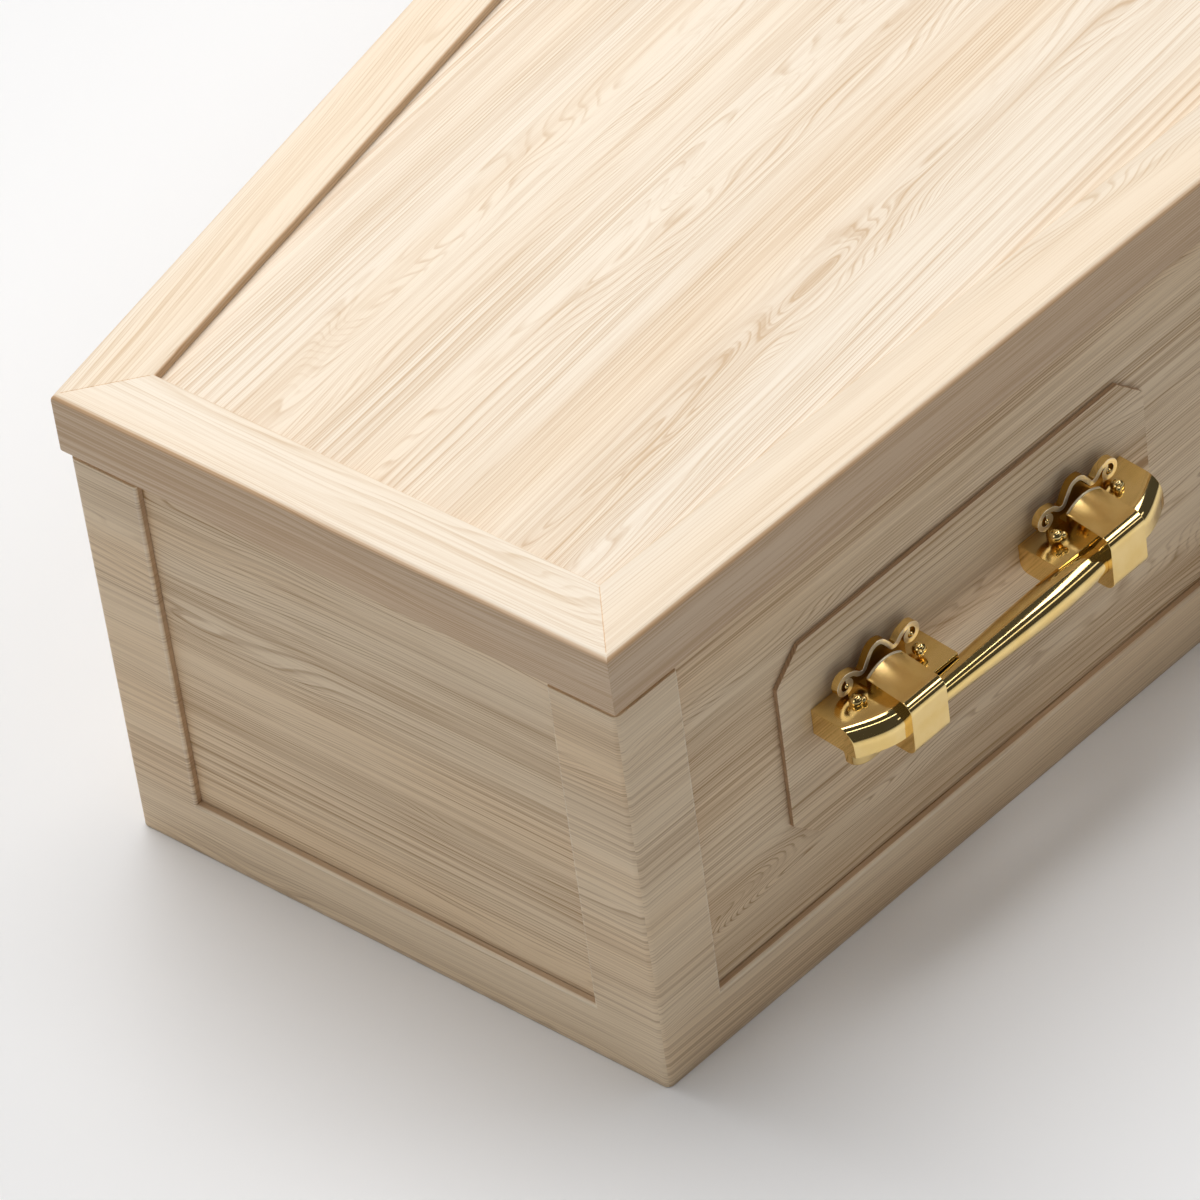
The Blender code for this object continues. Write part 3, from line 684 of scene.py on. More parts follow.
def body_wrap(plan, sizes):
    """Posts and bottom rail in one band folded round the body, rounded at its corners."""
    corners = [plan.corner(corner, 0.0, 0.0) for corner in range(plan.faces)]
    piece = add_outline("body_frame", corners, filled=False)
    edit(piece)
    choose_all()
    extrude((0.0, 0.0, sizes.frame_top))
    choose(piece, "EDGE", lambda edge: abs(run_of(edge).z) > 0.9)
    bevel(sizes.corner_radius, 6)
    choose_all()
    bpy.ops.mesh.bisect(plane_co=(0.0, 0.0, sizes.rail_height), plane_no=(0.0, 0.0, 1.0))
    for face in range(plan.faces):
        outward = -plan.inward(face).to_3d()
        for along in (sizes.post_width, plan.face_length(face) - sizes.post_width):
            choose(piece, "FACE", lambda side: abs(side.normal.dot(outward)) > 0.9999
                   and plan.nearest(side.calc_center_median()) == face)
            bpy.ops.mesh.bisect(plane_co=plan.point(face, along, 0.0, 0.0),
                                plane_no=plan.direction(face).to_3d())

    def is_opening(side):
        centre = side.calc_center_median()
        face = plan.nearest(centre)
        along, depth = plan.measure(face, centre)
        return (centre.z > sizes.rail_height and abs(depth) < NEAR
                and sizes.post_width < along < plan.face_length(face) - sizes.post_width)

    choose(piece, "FACE", is_opening)
    bpy.ops.mesh.delete(type="FACE")
    turn_outwards()
    leave_edit()
    apply_modifier(piece, "SOLIDIFY", thickness=sizes.frame_thickness, offset=-1.0, use_even_offset=True)

    def beside_panel(edge):
        point = middle(edge)
        face = plan.nearest(point)
        along, depth = plan.measure(face, point)
        if abs(depth) > NEAR or sharpness(edge) < 1.0:
            return False
        if abs(run_of(edge).z) < 0.1:
            return abs(point.z - sizes.rail_height) < NEAR
        return point.z > sizes.rail_height

    def at_end(edge):
        point = middle(edge)
        depth = plan.measure(plan.nearest(point), point)[1]
        level = min(abs(point.z), abs(point.z - sizes.frame_top)) < NEAR
        return level and sharpness(edge) > 1.0 and depth < sizes.frame_thickness / 2

    edit(piece)
    choose(piece, "EDGE", beside_panel)
    bevel(sizes.frame_round, 5)
    choose(piece, "EDGE", at_end)
    bevel(sizes.frame_ease, 3)
    leave_edit()
    smooth(piece)
    # Rounded edges beside the panels get a paler print as painted highlight; faces turned across the board,
    # the posts' inner sides and the rail's top, get a darker print as painted shade.
    make_room(piece, 3)
    for polygon in piece.data.polygons:
        face = plan.nearest(polygon.center)
        along = plan.measure(face, polygon.center)[0]
        slant = abs(polygon.normal.dot(plan.inward(face).to_3d()))
        level = polygon.center.z
        if (sizes.corner_radius < along < plan.face_length(face) - sizes.corner_radius
                and sizes.frame_round < level < sizes.frame_top - sizes.frame_ease and slant < 0.99):
            polygon.material_index = 1 if slant > 0.15 else 2
    return piece


def lid_wrap(plan, sizes):
    """Lid border and rim in one ring, rounded outside, with a fine joint line at each mitre."""
    outside = -sizes.lid_overhang
    top = sizes.body_height + sizes.lid_height
    corners = [plan.corner(corner, outside, sizes.body_height) for corner in range(plan.faces)]
    piece = add_outline("lid_border", corners)
    edit(piece)
    choose_all()
    extrude((0.0, 0.0, sizes.lid_height))
    turn_outwards()
    choose(piece, "FACE", lambda side: side.normal.z > 0.9)
    bpy.ops.mesh.inset(thickness=sizes.border_width, use_even_offset=True)
    choose(piece, "FACE", lambda side: side.normal.z < -0.9)
    bpy.ops.mesh.inset(thickness=sizes.rim_thickness, use_even_offset=True)
    extrude((0.0, 0.0, sizes.lid_height - sizes.border_thickness))
    bpy.ops.mesh.inset(thickness=sizes.border_width - sizes.rim_thickness, use_even_offset=True)

    def is_hole(side):
        centre = side.calc_center_median()
        return (abs(side.normal.z) > 0.9
                and plan.measure(plan.nearest(centre), centre)[1] > 2 * sizes.border_width)

    choose(piece, "FACE", is_hole)
    bpy.ops.mesh.bridge_edge_loops()
    turn_outwards()

    def along_edge(depth, height):
        def test(edge):
            point = middle(edge)
            here = plan.measure(plan.nearest(point), point)[1]
            return (abs(here - depth) < NEAR and abs(point.z - height) < NEAR
                    and abs(run_of(edge).z) < 0.1 and sharpness(edge) > 1.0)
        return test

    choose(piece, "EDGE", along_edge(outside, top))
    bevel(sizes.lid_top_round, 8)
    choose(piece, "EDGE", along_edge(outside, sizes.body_height))
    bevel(sizes.lid_low_round, 4)
    choose(piece, "EDGE", along_edge(outside + sizes.border_width, top))
    bevel(sizes.lid_inner_round, 4)

    def on_mitre(point):
        depths = sorted(plan.measure(face, point)[1] for face in range(plan.faces))
        return depths[1] - depths[0] < NEAR

    def corner_edge(edge):
        first, second = (vert.co for vert in edge.verts)
        depth = plan.measure(plan.nearest(middle(edge)), middle(edge))[1]
        return (on_mitre(first) and on_mitre(second) and depth < outside + sizes.lid_top_round
                and sizes.body_height + NEAR < middle(edge).z < top - NEAR)

    def mitre_edge(edge):
        first, second = (vert.co for vert in edge.verts)
        return (on_mitre(first) and on_mitre(second)
                and abs(first.z - top) < NEAR and abs(second.z - top) < NEAR)

    choose(piece, "EDGE", corner_edge)
    bevel(sizes.lid_corner_radius, 5)
    choose(piece, "EDGE", mitre_edge)
    bevel(sizes.mitre_width, 2)
    choose(piece, "EDGE", mitre_edge)
    bpy.ops.transform.translate(value=(0.0, 0.0, -sizes.mitre_depth))
    leave_edit()
    smooth(piece)
    return piece


class COFFIN_OT_boards(bpy.types.Operator):
    """Give the flat boards of the frame their print"""
    bl_idname = "coffin.boards"
    bl_label = "Boards"

    def execute(self, context):
        for name, (material, slot) in boards_of_the_frame(context.scene.coffin_colours).items():
            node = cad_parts[name]
            for material_slot in node.material_slots:
                material_slot.material = material
        return {"FINISHED"}


class COFFIN_OT_body_frame(bpy.types.Operator):
    """Fold the posts and the bottom rail round the body"""
    bl_idname = "coffin.body_frame"
    bl_label = "Body frame"

    def execute(self, context):
        sizes = context.scene.coffin_sizes
        colours = context.scene.coffin_colours
        plan = Plan(sizes)
        piece = body_wrap(plan, sizes)

        def rule(polygon, point):
            face = plan.nearest(polygon.center)
            along, depth = plan.measure(face, point)
            return plan.start(face) + along, point.z - depth * abs(polygon.normal.z)

        lay_grain(piece, rule)
        # Second print: painted highlight on the rounded edges; third: painted shade on the inner side
        # walls.
        dress(piece, [wood_print("frame_print", GRAIN_MAP, colours.body_light, colours.frame_dark, 29.0,
                                 0.5, darker_at_bottom=True),
                      wood_print("frame_edge_highlight_print", GRAIN_MAP, colours.edge_highlight_light, colours.edge_highlight_dark, 29.0,
                                 0.5, darker_at_bottom=True),
                      wood_print("frame_side_shade_print", GRAIN_MAP, colours.wall_shade_light, colours.edge_shade_light, 29.0,
                                 0.5)])
        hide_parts("foot_frame", "head_frame", "right_side_frame", "left_side_frame")
        return {"FINISHED"}


class COFFIN_OT_lid_border(bpy.types.Operator):
    """Build the lid's border and rim"""
    bl_idname = "coffin.lid_border"
    bl_label = "Lid border"

    def execute(self, context):
        sizes = context.scene.coffin_sizes
        colours = context.scene.coffin_colours
        plan = Plan(sizes)
        piece = lid_wrap(plan, sizes)
        top = sizes.body_height + sizes.lid_height

        def rule(polygon, point):
            face = plan.nearest(polygon.center)
            along, depth = plan.measure(face, point)
            return plan.start(face) * 1.31 + along, depth + point.z - top + face * 0.4

        lay_grain(piece, rule)
        # The lid's border and rim: upright faces and the rounding get painted shade.
        dress(piece, [wood_print("lid_border_print", GRAIN_MAP, colours.lid_light, colours.border_dark,
                                 34.0, 0.4, side_shade=colours.lid_side_shade)])
        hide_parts(*["lid_{}_{}".format(side, part)
                             for side in LID_SIDES for part in ("border", "rim")])
        return {"FINISHED"}


def handle_matrices(sizes, handles):
    """Place of each handle: on the front of its plate, X along the side, by name."""
    plan = Plan(sizes)
    first = sizes.post_width + handles.plate_to_post + handles.plate_length / 2
    run = plan.face_length(RIGHT_LONG) - 2 * first
    places = {}
    for side, face in (("right", RIGHT_LONG), ("left", LEFT_LONG)):
        names = [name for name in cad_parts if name.startswith(side) and name.endswith("_bar")]
        for number in range(len(names)):
            along = first + run * number / (len(names) - 1)
            if face == LEFT_LONG:
                along = plan.face_length(face) - along
            direction = plan.direction(face)
            depth = sizes.frame_thickness - handles.plate_thickness - handles.gap
            place = plan.point(face, along, depth, handles.height)
            turn = Matrix.Rotation(math.atan2(direction.y, direction.x), 4, "Z")
            places["{}_handle_{}".format(side, number + 1)] = Matrix.Translation(place) @ turn
    return places


def plate_source(handles):
    """Backing plate with cut corners and eased edges, in the handle's frame."""
    half = handles.plate_length / 2
    low = -handles.plate_drop - handles.plate_height / 2
    high = -handles.plate_drop + handles.plate_height / 2
    piece = add_box("plate", (-half, handles.gap, low), (half, handles.gap + handles.plate_thickness, high))
    edit(piece)
    centre = Vector((0.0, handles.gap, (low + high) / 2))
    for x_sign in (-1, 1):
        for z_sign in (-1, 1):
            choose_all()
            edge_point = centre + Vector((x_sign * (half - handles.plate_cut), 0.0,
                                          z_sign * handles.plate_height / 2))
            bpy.ops.mesh.bisect(plane_co=edge_point, plane_no=(x_sign, 0.0, z_sign),
                                use_fill=True, clear_outer=True)
    choose(piece, "EDGE", lambda edge: abs(middle(edge).y - handles.gap) < NEAR)
    bevel(handles.plate_ease, 3)
    leave_edit()
    smooth(piece)
    # The plate's edges get a darker print as painted shade.
    make_room(piece, 2)
    for polygon in piece.data.polygons:
        polygon.material_index = 1 if abs(polygon.normal.y) < 0.5 else 0
    return piece


class COFFIN_OT_plates(bpy.types.Operator):
    """Build the backing plates"""
    bl_idname = "coffin.plates"
    bl_label = "Plates"

    def execute(self, context):
        handles = context.scene.handle_sizes
        colours = context.scene.coffin_colours
        source = plate_source(handles)
        face = wood_print("plate_print", GRAIN_MAP, colours.body_light, colours.body_dark, 39.0, 0.7)
        # Darker print on the plates' edges: painted shade.
        cut = wood_print("plate_edge_shade_print", GRAIN_MAP, colours.edge_shade_light, colours.edge_shade_dark, 44.0, 0.0)
        for number, (name, matrix) in enumerate(handle_matrices(context.scene.coffin_sizes,
                                                                handles).items()):
            lay_grain(source, lambda polygon, point: (point.x + number * 0.9, point.z - point.y + number))
            piece = placed_copy(source, name + "_plate_finish", matrix)
            dress(piece, [face, cut])
            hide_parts(name + "_plate")
        bpy.data.objects.remove(source, do_unlink=True)
        return {"FINISHED"}


def strap(handles):
    """Looped band over the bar, its top falling from the crest to the front, its rims rounded."""
    half = handles.strap_width / 2
    reach, fall = handles.strap_reach, handles.strap_fall
    front, low, back = handles.strap_round, handles.strap_low_round, handles.strap_back_round
    base = handles.small_ease - handles.block_fall
    profile = [(0.0, base), (handles.strap_back, base)]
    profile += arc((handles.strap_back + back, back - fall), back, 180, 270, 8)
    profile += arc((reach - low, low - fall), low, 270, 360, 10)
    profile += arc((reach - front, handles.strap_front_rise - front), front, 0, 80, 10)
    profile += [(handles.hood_back, handles.strap_back_rise), (handles.hood_back, handles.pocket_floor),
                (0.0, handles.pocket_floor)]
    piece = add_outline("strap", [Vector((-half, -y, z)) for y, z in profile])
    edit(piece)
    choose_all()
    extrude((handles.strap_width, 0.0, 0.0))
    turn_outwards()
    choose(piece, "EDGE", lambda edge: abs(abs(middle(edge).x) - half) < NEAR
           and middle(edge).y < -handles.hood_back - NEAR
           and (middle(edge).y < -handles.strap_back - NEAR or middle(edge).z > 0.0))
    bevel(handles.strap_ease, 5)
    leave_edit()
    finish_faces(piece, POLISHED)
    return piece


def block(handles):
    """Outer slab that sweeps from a square side out into a rounded nose."""
    outer = -handles.block_length
    sweep = handles.block_reach - handles.block_side_reach
    run = handles.block_length - handles.strap_width / 2
    steps = 14
    plan = [(outer, 0.0), (outer, handles.block_side_reach)]
    for step in range(1, steps + 1):
        share = step / steps
        plan.append((outer + run * share,
                     handles.block_side_reach + sweep * math.sin(share * math.pi / 2)))
    plan += [(0.0, handles.block_reach), (0.0, 0.0)]
    piece = add_outline("block", [Vector((x, -reach, -handles.block_fall)) for x, reach in plan])
    edit(piece)
    choose_all()
    extrude((0.0, 0.0, handles.block_rise + handles.block_fall))
    turn_outwards()
    choose(piece, "EDGE", lambda edge: middle(edge).z > handles.block_rise - NEAR
           and middle(edge).y < -handles.block_side_reach)
    bevel(handles.nose_round, 10)
    choose(piece, "EDGE", lambda edge: sharpness(edge) > 0.9 and abs(middle(edge).x - outer) < NEAR
           and middle(edge).y < -NEAR)
    bevel(handles.small_ease, 2)
    leave_edit()
    return piece


def inner_block(handles):
    """Slab beside the strap that runs out over the bar, hollowed for it."""
    reach = handles.inner_reach
    radius = handles.inner_round
    profile = [(reach, -handles.inner_fall), (reach, handles.inner_rise), (0.0, handles.inner_rise)]
    profile += arc((radius, radius - handles.inner_fall), radius, 180, 270, 8)
    piece = add_outline("inner_block", [Vector((0.0, -y, z)) for y, z in profile])
    edit(piece)
    choose_all()
    extrude((handles.inner_length, 0.0, 0.0))
    turn_outwards()
    choose(piece, "EDGE", lambda edge: sharpness(edge) > 0.9 and middle(edge).x > NEAR
           and middle(edge).y < -NEAR)
    bevel(handles.small_ease, 2)
    leave_edit()
    hollow = add_cylinder("hollow", 64, handles.bar_radius + handles.bar_to_block,
                          4 * handles.inner_length, (0.0, -handles.bar_reach, 0.0))
    combine(piece, hollow, "DIFFERENCE")
    return piece


def lug(handles):
    """Lug under the nose, round-cornered from above."""
    outer = -handles.lug_length
    radius = handles.lug_corner
    plan = [(0.0, handles.lug_back), (outer, handles.lug_back)]
    plan += arc((outer + radius, handles.lug_reach - radius), radius, 180, 90, 10)
    plan.append((0.0, handles.lug_reach))
    piece = add_outline("lug", [Vector((x, -reach, -handles.lug_fall)) for x, reach in plan])
    edit(piece)
    choose_all()
    extrude((0.0, 0.0, handles.lug_fall))
    choose(piece, "VERT", lambda vert: vert.co.z < -handles.lug_fall + NEAR)
    bpy.ops.transform.resize(value=(handles.lug_narrowing, handles.lug_taper, 1.0),
                             center_override=(0.0, -handles.lug_back, -handles.lug_fall))
    turn_outwards()
    choose(piece, "EDGE", lambda edge: abs(middle(edge).z + handles.lug_fall) < NEAR
           and middle(edge).x < -NEAR)
    bevel(handles.lug_round, 5)
    leave_edit()
    return piece


def smooth_path(points, steps):
    """Points on a smooth curve through the given points."""
    padded = [points[0]] + points + [points[-1]]
    path = []
    for index in range(1, len(padded) - 2):
        before, start, end, after = (Vector(padded[index + offset]) for offset in (-1, 0, 1, 2))
        for step in range(steps):
            t = step / steps
            path.append(0.5 * (2 * start + (end - before) * t
                               + (2 * before - 5 * start + 4 * end - after) * t ** 2
                               + (3 * start - before - 3 * end + after) * t ** 3))
    path.append(Vector(points[-1]))
    return path


def crest_path(handles):
    """Middle line of the ribbon, from the left volute's core over the peak to the right one."""
    steps = 26
    spiral = []
    for step in range(steps + 1):
        share = step / steps
        angle = math.radians(90 + 360 * (1 - share))
        radius = handles.volute_core + (handles.volute_radius - handles.volute_core) * share
        spiral.append(Vector((-handles.volute_offset + radius * math.cos(angle),
                              handles.volute_height + radius * math.sin(angle))))
    peak = handles.crest_peak - handles.ribbon_width / 2
    landing = spiral[-1]
    run = smooth_path([spiral[-2], landing, *RIBBON_DIP, (-0.0040, peak - 0.0012), (0.0, peak)], 6)[6:]
    half = spiral[:-1] + run
    return half + [Vector((-point.x, point.y)) for point in reversed(half[:-1])]


def ribbon(handles):
    """Rounded ribbon of the crest with a scroll at each end."""
    path = crest_path(handles)
    half = handles.ribbon_width / 2
    left, right = [], []
    for index, point in enumerate(path):
        before = path[max(index - 1, 0)]
        after = path[min(index + 1, len(path) - 1)]
        ahead = (after - before).normalized()
        side = Vector((-ahead.y, ahead.x))
        left.append(point + side * half)
        right.append(point - side * half)
    outline = left + list(reversed(right))
    back = handles.crest_back - handles.small_ease / 2
    piece = add_outline("ribbon", [Vector((x, -back, z)) for x, z in outline])
    edit(piece)
    choose_all()
    extrude((0.0, back - handles.crest_front, 0.0))
    turn_outwards()
    choose(piece, "EDGE", lambda edge: abs(middle(edge).y + handles.crest_front) < NEAR)
    bevel(half * 0.92, 5)
    leave_edit()
    finish_faces(piece, POLISHED)
    # The ribbon's front gets the paler bead finish, a painted highlight.
    for polygon in piece.data.polygons:
        if polygon.normal.y < -0.2:
            polygon.material_index = BEAD
    return piece


def crest_field(handles):
    """Sunk field that fills the crest behind its ribbon."""
    top = [point for point in crest_path(handles)
           if abs(point.x) < handles.volute_offset - handles.volute_radius / 3
           and point.y > handles.volute_height - NEAR]
    base = handles.inner_rise - 2 * handles.small_ease
    outline = [(top[0].x, base)] + [tuple(point) for point in top] + [(top[-1].x, base)]
    piece = add_outline("field", [Vector((x, -handles.crest_back, z)) for x, z in outline])
    edit(piece)
    choose_all()
    extrude((0.0, handles.crest_back - handles.crest_field, 0.0))
    leave_edit()
    # Darker recess finish: painted shade.
    finish_faces(piece, RECESS_SHADE)
    return piece


def arch_height(handles, share):
    """Height of the hood's arch across the strap, share from -1 to 1."""
    return handles.strap_back_rise + handles.hood_rise * (1 - share ** 2)


def hood(handles):
    """Arched hood over the back of the strap, which runs out flat towards the front."""
    low = handles.pocket_floor - handles.small_ease
    shares = [step / 12 - 1 for step in range(25)]
    outline = [(-handles.hood_half_width, low)]
    outline += [(handles.hood_half_width * share, arch_height(handles, share)) for share in shares]
    outline.append((handles.hood_half_width, low))
    piece = add_outline("hood", [Vector((x, -handles.hood_back, z)) for x, z in outline])
    edit(piece)
    choose_all()
    extrude((0.0, handles.hood_back - handles.hood_front, 0.0))
    slope = ((handles.strap_back_rise - handles.strap_front_rise)
             / (handles.strap_reach - handles.strap_round - handles.hood_back))
    level = handles.strap_back_rise - slope * (handles.hood_front - handles.hood_back)
    squash = (level - handles.small_ease / 2 - low) / (arch_height(handles, 0.0) - low)
    bpy.ops.transform.resize(value=(1.0, 1.0, squash), center_override=(0.0, -handles.hood_front, low))
    turn_outwards()
    leave_edit()
    finish_faces(piece, SATIN)
    return piece


def hood_lip(handles):
    """Fine raised rim along the back of the hood."""
    shares = [step / 12 - 1 for step in range(25)]
    half = handles.hood_half_width + handles.small_ease / 2
    outline = [(half * share, arch_height(handles, share) + handles.lip_rise) for share in shares]
    outline += [(half * share, arch_height(handles, share) - handles.lip_width)
                for share in reversed(shares)]
    back = handles.hood_back - handles.small_ease / 2
    piece = add_outline("hood_lip", [Vector((x, -back, z)) for x, z in outline])
    edit(piece)
    choose_all()
    extrude((0.0, -handles.lip_width, 0.0))
    turn_outwards()
    choose(piece, "EDGE", lambda edge: sharpness(edge) > 0.9 and abs(run_of(edge).y) < 0.1
           and all(vert.co.z > arch_height(handles, vert.co.x / half) + NEAR for vert in edge.verts))
    bevel(handles.small_ease, 3)
    leave_edit()
    # Paler bead finish: painted highlight.
    finish_faces(piece, BEAD)
    return piece


def berries(handles):
    """Small beads along the sunk field."""
    return [add_ball("berry", (x, -handles.crest_field, z), handles.berry_radius) for x, z in BERRIES]


def volute_disc(handles, side):
    """Back of a volute, with its bead."""
    depth = handles.crest_field - handles.crest_back
    centre = (side * handles.volute_offset, -(handles.crest_back + depth / 2), handles.volute_height)
    piece = add_cylinder("volute", 48, handles.volute_radius, depth, centre, (math.pi / 2, 0.0, 0.0))
    # Darker recess finish: painted shade.
    finish_faces(piece, RECESS_SHADE)
    bead = add_ball("bead", (side * handles.volute_offset, -handles.crest_front + handles.eye_radius / 2,
                             handles.volute_height), handles.eye_radius, (1.0, 1.5, 1.0))
    combine(piece, bead, "UNION")
    return piece


def socket(handles):
    """Hole in the strap for the end of the bar, flared at its mouth."""
    mouth = handles.strap_width / 2
    radius = handles.bar_end_radius + handles.socket_gap
    flare = handles.socket_flare
    piece = add_cylinder("socket", 48, radius, 2 * handles.socket_depth, (mouth, -handles.bar_reach, 0.0))
    deselect()
    bpy.ops.mesh.primitive_cone_add(
        vertices=48, radius1=radius, radius2=radius + 2 * flare, depth=2 * flare,
        rotation=(0.0, math.pi / 2, 0.0), location=(mouth, -handles.bar_reach, 0.0))
    cone = bpy.context.object
    apply_place()
    combine(piece, cone, "UNION")
    return piece


def bracket_source(handles):
    """Whole casting, with its bar on the +X side."""
    piece = strap(handles)
    for shape in (block(handles), inner_block(handles), lug(handles), crest_field(handles),
                  ribbon(handles), hood(handles), hood_lip(handles), *berries(handles)):
        combine(piece, shape, "UNION")
    for side in (-1, 1):
        combine(piece, volute_disc(handles, side), "UNION")
        centre = Vector((side * handles.curl_offset, -handles.curl_reach, handles.curl_height))
        tip = centre + Vector((-side * 0.6, -0.7, 0.1)) * handles.curl_radius
        for ball in (add_ball("curl", centre, handles.curl_radius, (1.0, 0.95, 0.9)),
                     add_ball("curl_tip", tip, handles.curl_radius / 2)):
            combine(piece, ball, "UNION")
    combine(piece, socket(handles), "DIFFERENCE")
    face_outwards(piece)
    # Faces in the pocket behind the hood get the darker recess finish as painted shade.
    for polygon in piece.data.polygons:
        x, y, z = polygon.center
        if (polygon.material_index == POLISHED and abs(x) < handles.hood_half_width + handles.small_ease
                and y > -handles.hood_back - NEAR and z > handles.pocket_floor - NEAR):
            polygon.material_index = RECESS_SHADE
    return piece


def bar_source(handles):
    """Round bar that swells a little towards its middle, with eased ends."""
    half = handles.strap_spacing / 2 - handles.strap_width / 2 + handles.socket_depth - handles.gap
    piece = add_cylinder("bar", 64, handles.bar_end_radius, 2 * half, (0.0, -handles.bar_reach, 0.0))
    stations = 12
    edit(piece)
    choose(piece, "EDGE", lambda edge: sharpness(edge) > 1.0)
    bevel(handles.small_ease, 2)
    for station in range(1, stations):
        x = half * (2 * station / stations - 1)
        choose_all()
        bpy.ops.mesh.bisect(plane_co=(x, 0.0, 0.0), plane_no=(1.0, 0.0, 0.0))
        choose(piece, "VERT", lambda vert: abs(vert.co.x - x) < NEAR)
        swell = 1 + (handles.bar_radius / handles.bar_end_radius - 1) * (1 - (x / half) ** 2)
        bpy.ops.transform.resize(value=(1.0, swell, swell), center_override=(x, -handles.bar_reach, 0.0))
    leave_edit()
    smooth(piece)
    return piece


class COFFIN_OT_brackets(bpy.types.Operator):
    """Build the gilt brackets"""
    bl_idname = "coffin.brackets"
    bl_label = "Brackets"

    def execute(self, context):
        handles = context.scene.handle_sizes
        tint = context.scene.coffin_colours.gilt
        finishes = [gilt_plating("gilt_polished", tint, flats=0.09),
                    # Paler gilt on the ribbon's front and the hood's lip: painted highlight.
                    gilt_plating("gilt_bead_highlight", tint, satin=0.26, painted_highlight=0.25),
                    gilt_plating("gilt_satin", tint, satin=0.11),
                    # Darker gilt, tint squared and scaled by 0.45, for the sunk field, volute backs and
                    # pocket: painted shade.
                    gilt_plating("gilt_recess_shade", [value * value * 0.45 for value in tint], satin=0.40)]
        first = bracket_source(handles)
        mirror = Matrix.Scale(-1, 4, Vector((1, 0, 0)))
        second = placed_copy(first, "second_bracket", mirror)
        face_outwards(second)
        for source in (first, second):
            smooth(source, 30.0)
        for name, matrix in handle_matrices(context.scene.coffin_sizes, handles).items():
            ends = ("foot", "head") if name.startswith("right") else ("head", "foot")
            for source, sign, end in ((first, -1, ends[0]), (second, 1, ends[1])):
                shift = Matrix.Translation((sign * handles.strap_spacing / 2, 0.0, 0.0))
                node = "{}_{}_bracket".format(name, end)
                piece = placed_copy(source, node + "_finish", matrix @ shift)
                dress(piece, finishes)
                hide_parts(node)
        for source in (first, second):
            bpy.data.objects.remove(source, do_unlink=True)
        return {"FINISHED"}


class COFFIN_OT_bars(bpy.types.Operator):
    """Build the gilt bars"""
    bl_idname = "coffin.bars"
    bl_label = "Bars"

    def execute(self, context):
        handles = context.scene.handle_sizes
        material = gilt_plating("gilt_bar", context.scene.coffin_colours.gilt, satin=0.01)
        source = bar_source(handles)
        for name, matrix in handle_matrices(context.scene.coffin_sizes, handles).items():
            piece = placed_copy(source, name + "_bar_finish", matrix)
            dress(piece, [material])
            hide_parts(name + "_bar")
        bpy.data.objects.remove(source, do_unlink=True)
        return {"FINISHED"}


def add_softbox(name, place, aim, width, height, power):
    """Rectangular soft light that points at a spot on the coffin."""
    deselect()
    bpy.ops.object.light_add(type="AREA", location=place)
    light = bpy.context.object
    light.name = name
    light.data.shape = "RECTANGLE"
    light.data.size = width
    light.data.size_y = height
    light.data.energy = power
    light.rotation_euler = (Vector(aim) - Vector(place)).to_track_quat("-Z", "Y").to_euler()


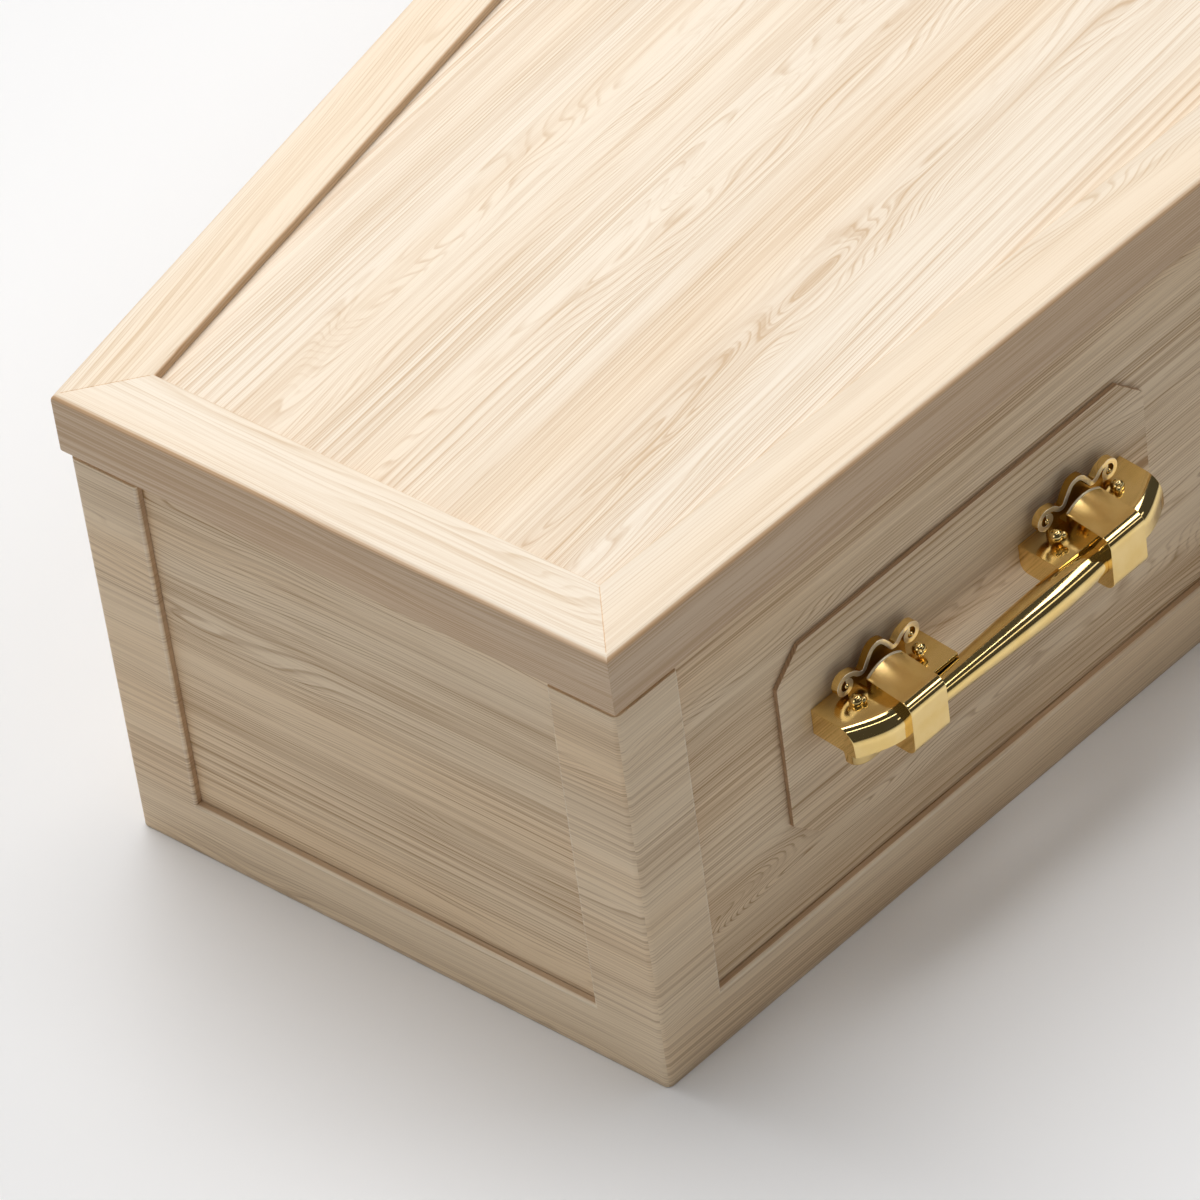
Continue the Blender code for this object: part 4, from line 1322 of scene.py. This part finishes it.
class COFFIN_OT_studio(bpy.types.Operator):
    """Set up the floor, the soft lights and the camera"""
    bl_idname = "coffin.studio"
    bl_label = "Studio"

    def execute(self, context):
        studio = context.scene.coffin_studio
        deselect()
        bpy.ops.mesh.primitive_plane_add(size=studio.floor_size, location=(0.0, 0.0, -0.0002))
        floor = bpy.context.object
        floor.name = "studio_floor"
        apply_place()
        material, tree, shader = new_material("floor_paper")
        place = add_node(tree, "ShaderNodeTexCoord").outputs["Object"]
        tone = add_node(tree, "ShaderNodeTexNoise", Vector=place, Scale=0.7, Detail=1.0).outputs["Fac"]
        tint = context.scene.coffin_colours.floor
        paint = blend(tree, tone, (*tint, 1.0), (*[value * 0.98 for value in tint], 1.0))
        tree.links.new(paint, shader.inputs["Base Color"])
        shader.inputs["Roughness"].default_value = 0.7
        floor.data.materials.append(material)

        add_softbox("key_light", (-0.35, 1.0, 3.2), (-0.6, 0.0, 0.2), 2.3, 2.6, studio.key_power)
        add_softbox("strip_light", (1.47, -1.35, 3.1), (-0.6, -0.3, 0.2), 2.5, 0.65, studio.strip_power)
        add_softbox("low_light", (1.1, -3.3, 1.9), (-0.6, -0.3, 0.1), 2.4, 0.35, studio.low_power)
        add_softbox("front_light", (-0.5, -1.8, 3.2), (0.23, -0.2, 0.1), 2.6, 0.2, studio.front_power)
        add_softbox("fill_light", (-4.2, 0.2, 2.2), (-0.9, 0.0, 0.2), 2.0, 2.0, studio.fill_power)

        world = bpy.data.worlds.new("studio_room")
        context.scene.world = world
        world.use_nodes = True
        background = world.node_tree.nodes["Background"]
        background.inputs["Color"].default_value = (1.0, 0.98, 0.95, 1.0)
        background.inputs["Strength"].default_value = studio.room_light

        back = Vector((math.sin(studio.azimuth) * math.cos(studio.elevation),
                       -math.cos(studio.azimuth) * math.cos(studio.elevation),
                       math.sin(studio.elevation)))
        level = Vector((math.cos(studio.azimuth), math.sin(studio.azimuth), 0.0))
        upright = back.cross(level)
        right = level * math.cos(studio.roll) + upright * math.sin(studio.roll)
        up = upright * math.cos(studio.roll) - level * math.sin(studio.roll)
        deselect()
        bpy.ops.object.camera_add(location=studio.place)
        camera = bpy.context.object
        camera.name = "studio_camera"
        turn = Matrix((right, up, back)).transposed().to_4x4()
        camera.matrix_world = Matrix.Translation(studio.place) @ turn
        camera.data.sensor_width = 36.0
        camera.data.lens = studio.lens
        camera.data.clip_end = 100.0
        context.scene.camera = camera
        context.scene.view_settings.view_transform = "Standard"
        return {"FINISHED"}


class COFFIN_PT_panel(bpy.types.Panel):
    """Lists the steps of the coffin's finish"""
    bl_idname = "COFFIN_PT_panel"
    bl_label = "Coffin"
    bl_space_type = "VIEW_3D"
    bl_region_type = "UI"
    bl_category = "Coffin"

    def draw(self, context):
        for operator in OPERATORS:
            self.layout.operator(operator.bl_idname)
        for group in (context.scene.coffin_sizes, context.scene.handle_sizes,
                      context.scene.coffin_colours, context.scene.coffin_studio):
            box = self.layout.box()
            for name in group.__annotations__:
                box.prop(group, name)


GROUPS = {"coffin_sizes": CoffinSizes, "handle_sizes": HandleSizes,
          "coffin_colours": CoffinColours, "coffin_studio": StudioSettings}
OPERATORS = (COFFIN_OT_boards, COFFIN_OT_body_frame, COFFIN_OT_lid_border, COFFIN_OT_plates,
             COFFIN_OT_brackets, COFFIN_OT_bars, COFFIN_OT_studio)


def register():
    for name, group in GROUPS.items():
        bpy.utils.register_class(group)
        setattr(bpy.types.Scene, name, PointerProperty(type=group))
    for item in OPERATORS + (COFFIN_PT_panel,):
        bpy.utils.register_class(item)


def unregister():
    for item in reversed(OPERATORS + (COFFIN_PT_panel,)):
        bpy.utils.unregister_class(item)
    for name, group in reversed(list(GROUPS.items())):
        delattr(bpy.types.Scene, name)
        bpy.utils.unregister_class(group)


def main():
    register()
    bpy.ops.coffin.boards()
    bpy.ops.coffin.body_frame()
    bpy.ops.coffin.lid_border()
    bpy.ops.coffin.plates()
    bpy.ops.coffin.brackets()
    bpy.ops.coffin.bars()
    bpy.ops.coffin.studio()


if __name__ == "__main__":
    main()
